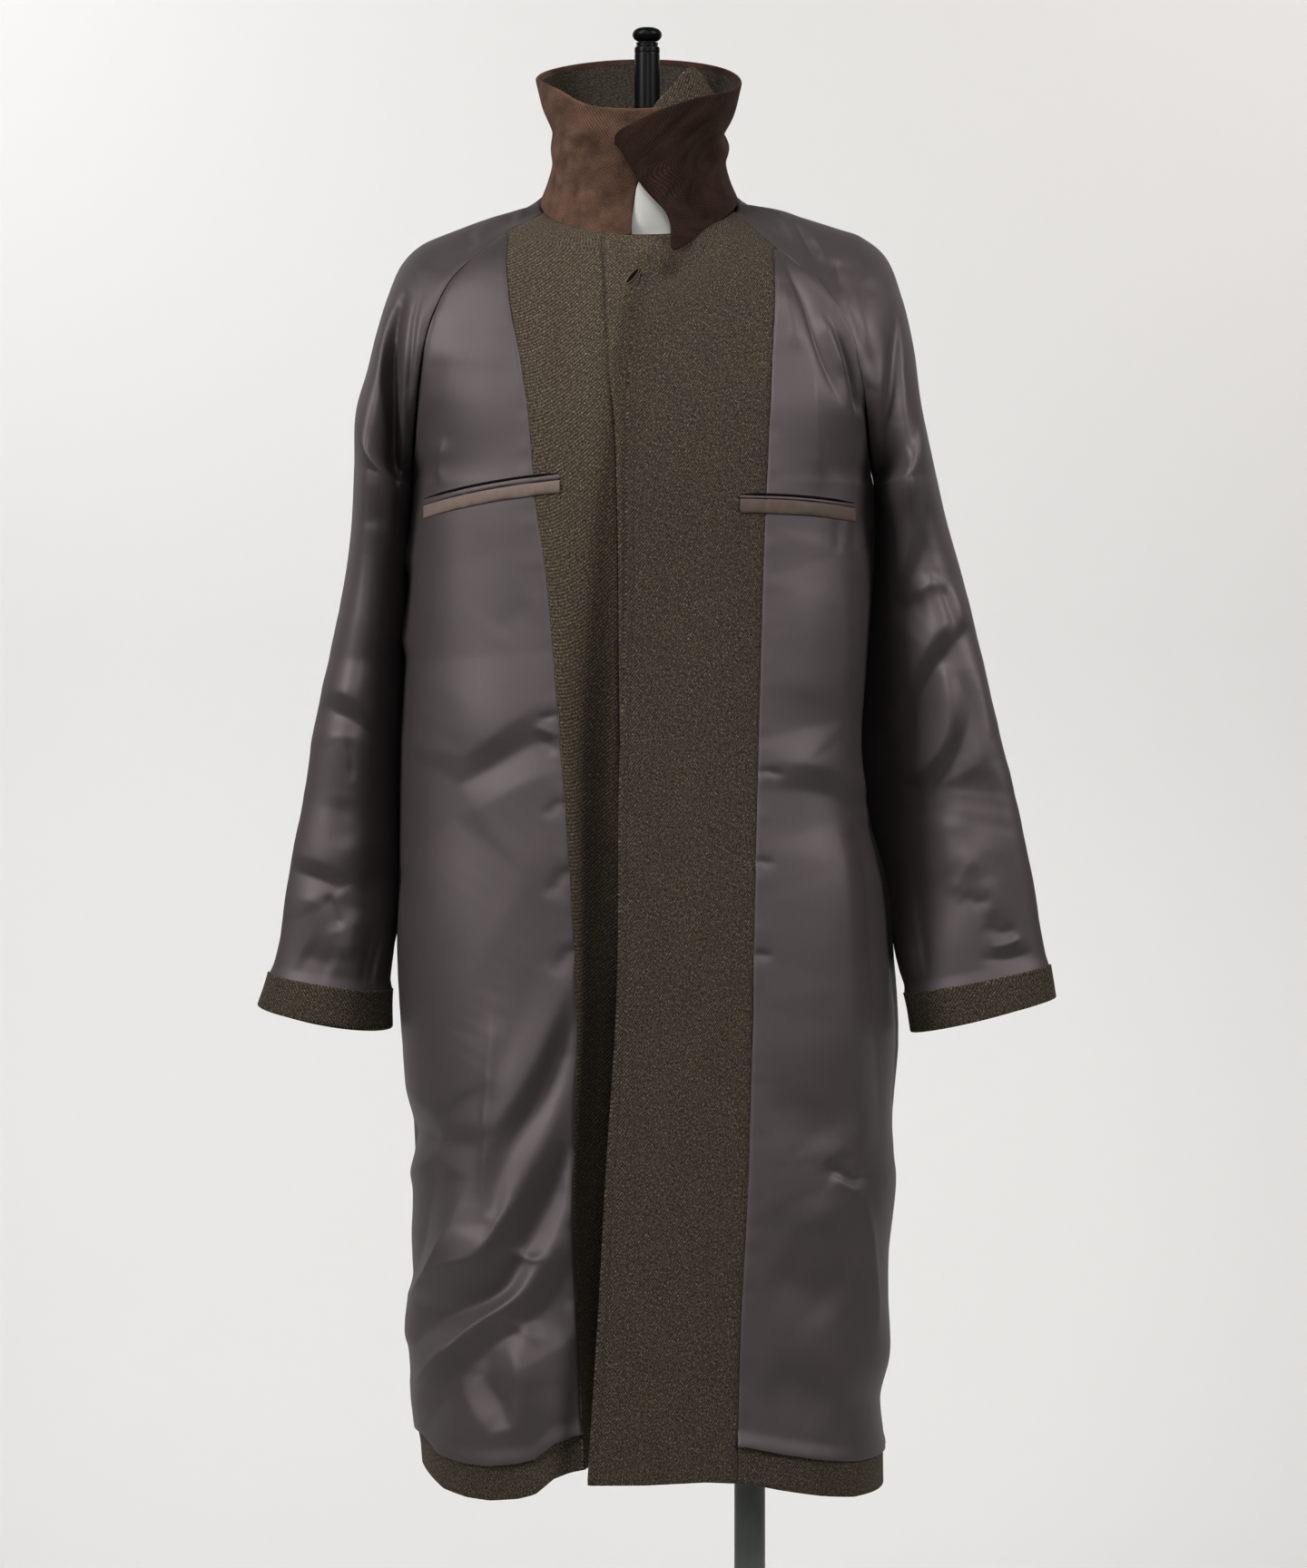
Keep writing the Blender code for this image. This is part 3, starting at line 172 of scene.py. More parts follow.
# Sleeves below the underarm: outer and inner fold of the flattened tube and its half depth, how the
# inner fold tucks in behind the body's side and turns, how much of the depth the front half keeps
# near either fold, and how far the outer fold hangs forward. The row before the last one is where
# the lining stops, the last one is the cuff's edge.
SLEEVE_COLUMNS = (
    "over_x over_z inner_x inner_z middle depth tuck_x tuck_y turn inner_keep outer_keep forward")
SLEEVE = {
    -1: columns(SLEEVE_COLUMNS, [
        (-0.26, 1.2272, -0.212, 1.2192, 0.007, 0.1, 0.003, 0.024, 2, 0.95, 0.8, 0.006),
        (-0.2656, 1.1792, -0.2136, 1.1696, 0.01, 0.094, 0.0065, 0.044, 4, 0.95, 0.55, 0.022),
        (-0.2776, 1.1152, -0.2176, 1.1024, 0.012, 0.086, 0.009, 0.055, 6, 1.0, 0.35, 0.038),
        (-0.2912, 1.0512, -0.22, 1.0368, 0.012, 0.078, 0.0095, 0.058, 6, 1.0, 0.26, 0.046),
        (-0.3008, 0.9872, -0.2208, 0.9712, 0.012, 0.071, 0.009, 0.056, 6, 1.0, 0.25, 0.047),
        (-0.3136, 0.9232, -0.2218, 0.904, 0.012, 0.064, 0.006, 0.04, 4, 0.95, 0.3, 0.043),
        (-0.3216, 0.8672, -0.2248, 0.8512, 0.012, 0.057, 0.001, 0.008, 1, 0.92, 0.45, 0.037),
        (-0.3312, 0.8296, -0.2272, 0.8152, 0.012, 0.052, 0.0, 0.0, 0, 0.9, 0.7, 0.03),
        (-0.3392, 0.8064, -0.2272, 0.788, 0.012, 0.052, 0.0, 0.0, 0, 0.9, 0.9, 0.024),
    ]),
    1: columns(SLEEVE_COLUMNS, [
        (0.2632, 1.2312, 0.204, 1.2192, 0.0, 0.098, 0.004, 0.026, 4, 0.95, 0.8, 0.006),
        (0.2752, 1.1856, 0.201, 1.1672, -0.004, 0.088, 0.008, 0.048, 9, 0.9, 0.6, 0.018),
        (0.2896, 1.1232, 0.2012, 1.0992, -0.008, 0.077, 0.0135, 0.058, 15, 0.86, 0.48, 0.032),
        (0.3056, 1.0512, 0.2064, 1.0272, -0.01, 0.067, 0.0215, 0.066, 21, 0.84, 0.42, 0.04),
        (0.32, 0.9936, 0.2144, 0.9696, -0.012, 0.06, 0.0215, 0.068, 21, 0.84, 0.42, 0.042),
        (0.3344, 0.9272, 0.2232, 0.9032, -0.012, 0.053, 0.014, 0.055, 15, 0.84, 0.48, 0.038),
        (0.344, 0.8712, 0.2244, 0.8472, -0.012, 0.047, 0.0055, 0.022, 6, 0.86, 0.6, 0.033),
        (0.3504, 0.8376, 0.2288, 0.8128, -0.012, 0.043, 0.0, 0.0, 0, 0.88, 0.78, 0.028),
        (0.3544, 0.8144, 0.2336, 0.7848, -0.012, 0.043, 0.0, 0.0, 0, 0.9, 0.9, 0.024),
    ]),
}
SLEEVE_ROWS = 9
CUFF_ROW = UNDERARM_ROW + SLEEVE_ROWS
SLEEVE_FORWARD = 0.018
BACK_TUCK = 0.7

# How far the middle of a cuff hangs below its two folds
CUFF_SAG = {(-1, "front"): 0.0050, (-1, "back"): 0.0125, (1, "front"): 0.0020, (1, "back"): 0.0080}
CUFF_SAG_ROWS = 3.0

# Lines that run down the fronts: height and x
FACING_SEAM = {
    -1: [
        (1.444, -0.1218), (1.407, -0.1174), (1.361, -0.1085), (1.312, -0.1013), (1.237, -0.0949),
        (1.172, -0.0856), (1.061, -0.0756), (0.951, -0.0678), (0.793, -0.06), (0.648, -0.0623),
        (0.52, -0.0576), (0.4, -0.053),
    ],
    1: [
        (1.449, 0.1105), (1.42, 0.1101), (1.363, 0.1073), (1.296, 0.1039), (1.175, 0.0991),
        (0.982, 0.0937), (0.793, 0.0897), (0.648, 0.0858), (0.52, 0.0788), (0.4, 0.077),
    ],
}
FACING_SEAM_INSET = 0.002
RIGHT_FRONT_EDGE = [
    (1.476, 0.004), (1.458, 0.0009), (1.431, -0.0061), (1.386, -0.0115), (1.352, -0.0146),
    (1.296, -0.0161), (1.173, -0.0168), (0.998, -0.0222), (0.818, -0.024), (0.674, -0.033),
    (0.52, -0.0414), (0.4, -0.049),
]
FLY_SEAM = [
    (1.477, -0.0384), (1.408, -0.0365), (1.352, -0.034), (1.307, -0.0285), (1.253, -0.0261),
    (1.077, -0.0238), (0.818, -0.02), (0.4, -0.018),
]
LEFT_FRONT_EDGE = [
    (1.477, 0.024), (1.3, 0.03), (0.8, 0.022), (0.4, 0.012),
]

# Rise and fall of the hem: x and height, for either front and for the back
HEM_WAVE = {
    -1: [
        (-0.3, 0.006), (-0.195, 0.006), (-0.175, -0.006), (-0.155, -0.01), (-0.135, -0.011),
        (-0.11, -0.008), (-0.095, -0.004), (-0.079, 0.009), (-0.064, 0.014), (-0.05, 0.0165),
        (0.05, 0.0165),
    ],
    1: [
        (-0.06, 0.006), (0.0, 0.006), (0.05, 0.008), (0.085, 0.006), (0.115, -0.001), (0.15, -0.008),
        (0.18, -0.0125), (0.3, -0.0125),
    ],
    "back": [
        (-0.3, 0.006), (-0.195, 0.006), (0.0, -0.002), (0.18, -0.0125), (0.3, -0.0125),
    ],
}
HEM_WAVE_TOP = 0.62
HEM_WAVE_REACH = 0.17

# Largest folds of the back: x and z of both ends, width and height of each ridge or trough
BACK_FOLDS = [
    (-0.085, 1.0, -0.1, 0.39, 0.034, 0.012), (-0.025, 0.9, -0.035, 0.39, 0.03, -0.01),
    (0.045, 1.05, 0.055, 0.39, 0.036, 0.011), (0.115, 0.85, 0.13, 0.39, 0.03, -0.009),
    (-0.11, 1.36, -0.165, 1.27, 0.016, -0.006), (0.105, 1.36, 0.16, 1.27, 0.016, -0.006),
    (-0.25, 1.18, -0.265, 1.0, 0.016, -0.008), (0.245, 1.18, 0.28, 1.0, 0.016, -0.008),
]
FOLD_MASK_DEPTH = 0.050
FOLD_FADE = (0.3, 0.25)

# Pocket trims on the fronts: line of the lower edge, height, gap above it
Pocket = namedtuple("Pocket", "x0 z0 x1 z1 sag height lip")
POCKETS = {
    "left": Pocket(-0.1935, 1.2300, -0.0750, 1.2485, 0.0020, 0.0105, 0.0050),
    "right": Pocket(0.0800, 1.2315, 0.1800, 1.2265, 0.0015, 0.0115, 0.0030),
}
# How far welt and lip stand out, and their gathers. The mouth is a near-black strip above them, painted
# shade in the gap.
WELT_PROUD = (0.0021, 0.0007)
LIP_PROUD = (0.0014, 0.0003)
GATHER_PITCH = 0.0052
MOUTH_RISE = 0.0013
MOUTH_PROUD = 0.0002
MOUTH_HALF = (0.0011, 0.0006)

# Collar: share of the height, half width, front and back reach, level and tip of each ring
COLLAR = columns("share half front back level tip", [
    (0.0, 0.0865, 0.083, 0.075, 1.515, 0.036), (0.15, 0.081, 0.079, 0.071, 1.528, 0.0355),
    (0.37, 0.0757, 0.076, 0.069, 1.551, 0.0345), (0.6, 0.079, 0.078, 0.073, 1.5755, 0.0335),
    (0.8, 0.086, 0.082, 0.081, 1.597, 0.0325), (1.0, 0.0908, 0.086, 0.087, 1.618, 0.032),
])
# Its two ends in degrees walked from the left, at the foot and at the top. The first swells inwards,
# the second has a notch: depth, share of the height, width.
COLLAR_START = (5.0, -18.0)
COLLAR_END = (342.0, 375.0)
COLLAR_START_SWELL = 6.5
COLLAR_END_NOTCH = (9.5, 0.26, 0.20)
# How the ends tuck under, lift off, droop at the top and follow the front: metres and degrees
COLLAR_TUCK = 0.0045
COLLAR_TUCK_END = 32.0
COLLAR_LIFT = 0.0042
COLLAR_LIFT_START = 316.0
COLLAR_EASE = 26.0
COLLAR_TOP_DROOP = 0.033
COLLAR_DROOP_SPAN = (315.0, 60.0)
COLLAR_FOLLOW_SPAN = (300.0, 15.0)
COLLAR_BASE_REACH = 0.06

# How the collar's upper and lower edges leave the solid's: degrees, rise of the top, rise of the foot
COLLAR_EDGE = [
    (-20, -0.002, 0.0), (5, -0.003, -0.0016), (17, -0.0032, -0.003), (26, -0.0034, -0.0035),
    (36, -0.001, -0.0035), (50, 0.0045, -0.0035), (66, 0.0058, -0.003), (88, 0.003, -0.0015),
    (120, 0.0, 0.0), (240, 0.0, 0.0), (300, 0.001, 0.0), (318, 0.003, -0.002), (334, 0.004, -0.006),
    (346, 0.0046, -0.0075), (362, 0.0052, -0.0075), (376, 0.0058, -0.0075),
]
# How its two ends are rounded at the top: length along the collar and height, as shares
COLLAR_CORNERS = ((0.012, 0.05), (0.020, 0.085))

# Throat tab: angle round the neck and height of its upper edge
TAB_EDGE = [
    (8, 1.585), (12, 1.592), (22, 1.607), (30, 1.6195), (36, 1.6225), (41, 1.619), (47, 1.61),
    (54, 1.601), (60, 1.592),
]
TAB_FOOT = 1.556
TAB_INSET = 0.0105

# Dress form: height, half width, front and back reach of each ring
FORM = [
    (0.8, 0.118, 0.078, 0.085), (0.806, 0.14, 0.095, 0.103), (0.83, 0.158, 0.11, 0.118),
    (0.88, 0.166, 0.117, 0.124), (0.94, 0.162, 0.116, 0.116), (1.0, 0.15, 0.11, 0.104),
    (1.06, 0.143, 0.106, 0.098), (1.12, 0.147, 0.108, 0.1), (1.19, 0.157, 0.114, 0.105),
    (1.26, 0.166, 0.118, 0.11), (1.32, 0.174, 0.113, 0.112), (1.38, 0.182, 0.1, 0.109),
    (1.42, 0.187, 0.084, 0.1), (1.445, 0.182, 0.074, 0.09), (1.462, 0.148, 0.067, 0.079),
    (1.476, 0.1, 0.066, 0.068), (1.487, 0.074, 0.069, 0.06), (1.496, 0.064, 0.0705, 0.055),
    (1.506, 0.061, 0.071, 0.054), (1.52, 0.06, 0.071, 0.054), (1.54, 0.059, 0.068, 0.053),
    (1.56, 0.058, 0.06, 0.052), (1.567, 0.054, 0.054, 0.048), (1.57, 0.044, 0.044, 0.038),
]

# The photo's eye: where it stands, and the size of a picture point at the depth of the pole
EYE = (0.0056, -4.5, 1.0)
PICTURE = (1440, 1728)
POINT = 0.0008

# Creases on the front: how fast the crease falls off to the left and right when its path is walked
# downwards, its height in millimetres towards the viewer, the radius of its crest, small for a crisp
# fold and large for a soft one, and its path in points of the photo's picture.
FRONT_CREASES = [
    # Thin crests on the left skirt
    (3, 3, 1.7, 1, ((543, 1176), (541, 1240), (540, 1300), (543, 1356))),
    (3, 3, 1.7, 1, ((571, 1314), (562, 1338), (550, 1362), (530, 1392))),
    (3, 3, 1.8, 1, ((507, 1350), (494, 1376), (480, 1402), (461, 1434))),
    (3, 3, 1.6, 1, ((562, 1375), (574, 1385), (588, 1388), (602, 1384))),
    # Right front, below the collar's end
    (5, 8, -4.5, 3, ((797, 252), (776, 272), (754, 292), (728, 315))),
    # Left shoulder
    (4, 4, -4.0, 2, ((513, 254), (518, 264), (522, 275))),
    (6, 4, 3.0, 2, ((538, 245), (531, 254), (527, 265))),
    (4, 4, -3.5, 2, ((568, 230), (563, 241), (559, 251))),
    (4, 4, 2.5, 2, ((577, 226), (573, 236), (569, 247))),
    (5, 5, -4.5, 2, ((592, 218), (585, 225), (578, 233))),
    (14, 12, -2.0, 8, ((486, 268), (478, 282), (474, 300))),
    # Left sleeve
    (3, 3, -4.0, 1, ((461, 298), (463, 322), (457, 352), (453, 390), (450, 430), (451, 472),
     (452, 502))),
    (3, 3, 3.0, 1, ((466, 335), (460, 385), (457, 430), (457, 472))),
    (10, 3, 6.0, 2, ((434, 562), (444, 588), (449, 610), (447, 624), (436, 638))),
    (6, 3, 4.0, 2, ((440, 650), (446, 690), (449, 728))),
    (3, 4, -2.5, 1.5, ((382, 808), (386, 832), (388, 864))),
    (9, 9, -2.5, 5, ((380, 876), (377, 905), (382, 936))),
    (12, 14, -4.5, 6, ((434, 945), (415, 966), (396, 990))),
    (7, 6, -4.5, 3, ((360, 984), (367, 1004), (376, 1026))),
    (11, 14, 4.0, 5, ((394, 1000), (387, 1032), (384, 1060))),
    (14, 14, -3.0, 7, ((332, 1048), (350, 1058), (370, 1066))),
    (3, 3, -2.8, 1, ((421, 1026), (412, 1058), (406, 1090))),
    (3, 3, -2.8, 1, ((429, 1042), (424, 1070), (420, 1094))),
    (3, 3, -2.2, 1, ((412, 1018), (404, 1055), (398, 1088))),
    (3, 3, 2.0, 1, ((425, 1030), (418, 1062), (413, 1090))),
    # Left front
    (10, 9, -1.2, 5, ((491, 388), (482, 430), (475, 468), (470, 504))),
    (4, 5, 3.0, 1, ((488, 482), (486, 510), (484, 537))),
    (26, 26, 0.8, 12, ((548, 320), (546, 420), (542, 520))),
    (3, 3, 2.5, 1, ((590, 799), (602, 806), (614, 813))),
    (3, 3, -2.5, 1, ((594, 793), (604, 790), (613, 786))),
    (4, 4, -2.5, 1, ((596, 813), (606, 822), (613, 834))),
    (4, 5, -3.0, 1.5, ((627, 953), (615, 970), (603, 990))),
    (4, 5, -3.0, 1.5, ((633, 1038), (622, 1056), (611, 1078))),
    (3, 4, -2.0, 1.5, ((621, 880), (610, 890), (600, 902))),
    (18, 18, -0.8, 8, ((588, 666), (566, 680), (546, 702))),
    (8, 8, 2.0, 1.5, ((548, 1120), (545, 1170), (544, 1215))),
    (5, 5, 3.0, 1, ((508, 1476), (490, 1494), (476, 1509), (463, 1530))),
    (6, 6, 2.2, 1.5, ((562, 1373), (575, 1384), (590, 1388), (607, 1382))),
    (7, 6, 3.0, 1.5, ((543, 1454), (566, 1461), (586, 1471), (604, 1484))),
    (5, 4, 3.0, 2, ((633, 1432), (632, 1458), (636, 1482))),
    # Right shoulder and upper sleeve
    (3, 3, -3.0, 1.5, ((846, 230), (852, 241), (859, 252))),
    (5, 4, 3.0, 1.5, ((856, 231), (866, 246), (878, 264))),
    (4, 5, -5.5, 1.5, ((869, 239), (882, 257), (890, 271), (900, 290))),
    (6, 5, 3.5, 2, ((888, 251), (903, 272), (911, 292))),
    (4, 6, -5.5, 2, ((920, 283), (922, 301), (927, 324))),
    (4, 4, 2.5, 1.5, ((812, 230), (828, 239), (842, 250))),
    (16, 14, 3.0, 8, ((950, 268), (956, 292), (958, 320))),
    (5, 4, 4.5, 1, ((864, 276), (885, 296), (900, 311), (915, 330), (928, 350), (938, 370), (946, 395),
     (951, 420), (955, 446), (958, 474))),
    (6, 9, -5.5, 3, ((928, 330), (944, 362), (956, 394), (962, 425))),
    # Right chest
    (4, 7, -6.5, 1.5, ((862, 280), (872, 302), (881, 320), (890, 345), (898, 372), (908, 400),
     (918, 425), (929, 449))),
    (9, 7, 3.0, 4, ((862, 310), (872, 345), (880, 390))),
    (6, 5, 3.5, 2, ((904, 344), (915, 370), (924, 392), (933, 416))),
    (4, 5, -8.0, 1.5, ((910, 342), (924, 371), (932, 392), (939, 415), (944, 440), (949, 470),
     (955, 502), (961, 536))),
    (36, 14, 5.5, 1, ((896, 392), (897, 450), (898, 500), (901, 552))),
    # Right pocket gathers
    (4, 4, -1.3, 2, ((921, 570), (922, 590), (920, 612))),
    (4, 4, 0.8, 2, ((930, 571), (931, 588), (930, 606))),
    (4, 4, -1.3, 2, ((940, 572), (941, 588), (940, 608))),
    (4, 4, 0.8, 2, ((948, 573), (950, 588), (950, 606))),
    (4, 4, -1.3, 2, ((957, 574), (957, 590), (956, 612))),
    # Right waist and skirt
    (22, 22, 2.0, 12, ((880, 640), (884, 720), (882, 800))),
    (3, 3, -2.0, 1, ((832, 852), (846, 850), (862, 856))),
    (3, 3, -2.2, 1, ((832, 948), (842, 950), (852, 954))),
    (3, 3, -2.0, 1, ((830, 1050), (840, 1052), (850, 1056))),
    (7, 6, -4.5, 2, ((908, 1279), (920, 1291), (936, 1300), (948, 1297), (954, 1286))),
    (6, 9, 3.5, 2, ((916, 1294), (936, 1309), (952, 1314))),
    (14, 6, 4.0, 1, ((948, 1304), (955, 1345), (961, 1388), (965, 1432), (968, 1482))),
    (28, 30, -3.0, 14, ((834, 1226), (870, 1222), (905, 1236), (928, 1262))),
    (24, 22, 3.0, 12, ((890, 1316), (915, 1360), (938, 1410))),
    (26, 26, -3.0, 12, ((846, 1400), (885, 1420), (924, 1450))),
    (22, 22, -2.5, 12, ((846, 1520), (885, 1528), (924, 1545))),
    # Right lower sleeve
    (8, 9, 4.0, 3, ((1004, 656), (1020, 646), (1036, 638))),
    (8, 7, -3.5, 4, ((982, 668), (1002, 668), (1022, 663))),
    (6, 8, -5.5, 2, ((1036, 642), (1045, 668), (1054, 694))),
    (7, 7, 3.0, 3, ((1049, 638), (1059, 668), (1067, 694))),
    (9, 10, -3.0, 5, ((980, 850), (1000, 864), (1022, 870))),
    (18, 18, -4.0, 9, ((1066, 836), (1078, 885), (1081, 940))),
    (18, 18, 3.0, 9, ((1036, 890), (1040, 930), (1052, 970))),
    (10, 10, 2.5, 4, ((1079, 938), (1062, 962), (1044, 988))),
    (7, 7, -2.2, 3, ((1060, 984), (1076, 995), (1092, 990))),
    (8, 8, 2.2, 3, ((1084, 966), (1094, 990), (1088, 1014))),
    (7, 7, -2.6, 3, ((1082, 1018), (1100, 1028), (1122, 1024))),
    (5, 6, 3.0, 1.5, ((1092, 1044), (1109, 1041), (1126, 1033))),
    (7, 8, -3.0, 3, ((1076, 1056), (1110, 1057), (1142, 1048))),
    (2, 3, -2.8, 1, ((1002, 926), (1008, 975), (1014, 1020), (1023, 1086))),
    (6, 4, 3.0, 1.5, ((996, 1040), (1004, 1056), (1003, 1086))),
    # Sharp crests of the left skirt's folds
    (3, 3, 1.3, 2, ((546, 1090), (543, 1150), (541, 1200), (540, 1260), (539, 1315))),
    (3, 3, 1.4, 2, ((575, 1312), (566, 1330), (556, 1348), (545, 1366), (533, 1384))),
    (3, 3, 1.7, 2, ((533, 1384), (515, 1389), (498, 1394), (484, 1403), (472, 1418), (461, 1436))),
    (3, 4, 1.6, 2, ((592, 1402), (576, 1424), (558, 1439), (538, 1453), (515, 1472), (496, 1492),
     (480, 1514), (466, 1544))),
    # Fronts near the neck, and the long facings
    (7, 6, -6.0, 6, ((727, 318), (742, 298), (756, 276), (770, 255))),
    (9, 9, 4.0, 8, ((716, 300), (728, 284), (740, 272))),
    (8, 8, -3.0, 8, ((776, 296), (786, 278), (792, 262))),
    (24, 24, 1.6, 20, ((800, 500), (790, 700), (790, 900), (782, 1200))),
    (20, 20, -1.6, 16, ((740, 560), (738, 760), (735, 1000), (728, 1300))),
]

# Lines of the front where the main folds end: its seams, the gaps beside the body, and outside the
# silhouette, in points of the photo's picture
STILL_LINES = [
    ((559, 258), (577, 420), (602, 642), (615, 785), (619, 867), (629, 1010), (635, 1132), (634, 1228),
     (632, 1320), (638, 1487), (642, 1600)),
    ((855, 285), (847, 482), (841, 638), (834, 887), (829, 1131), (824, 1319), (815, 1486),
     (813, 1642)),
    ((476, 330), (470, 367), (464, 399), (459, 446), (456, 500), (455, 545)),
    ((437, 590), (436, 700), (434, 850), (432, 1000), (432, 1130), (428, 1300), (430, 1480),
     (432, 1660)),
    ((928, 345), (941, 374), (950, 417), (955, 461), (959, 506), (964, 560), (960, 640), (955, 740),
     (956, 850), (974, 905), (992, 960), (1000, 1050), (1006, 1150), (1000, 1300), (994, 1480),
     (990, 1660)),
    ((446, 250), (402, 368), (378, 455), (374, 580), (350, 720), (330, 800), (318, 880), (302, 960),
     (290, 1030), (280, 1080), (272, 1140), (430, 1150)),
    ((990, 270), (1012, 331), (1022, 386), (1032, 449), (1048, 526), (1062, 575), (1076, 632),
     (1094, 710), (1114, 800), (1132, 872), (1150, 955), (1162, 1025), (1172, 1075), (1176, 1140),
     (1010, 1155)),
    ((432, 1668), (560, 1668), (700, 1668), (850, 1668), (990, 1668)),
]

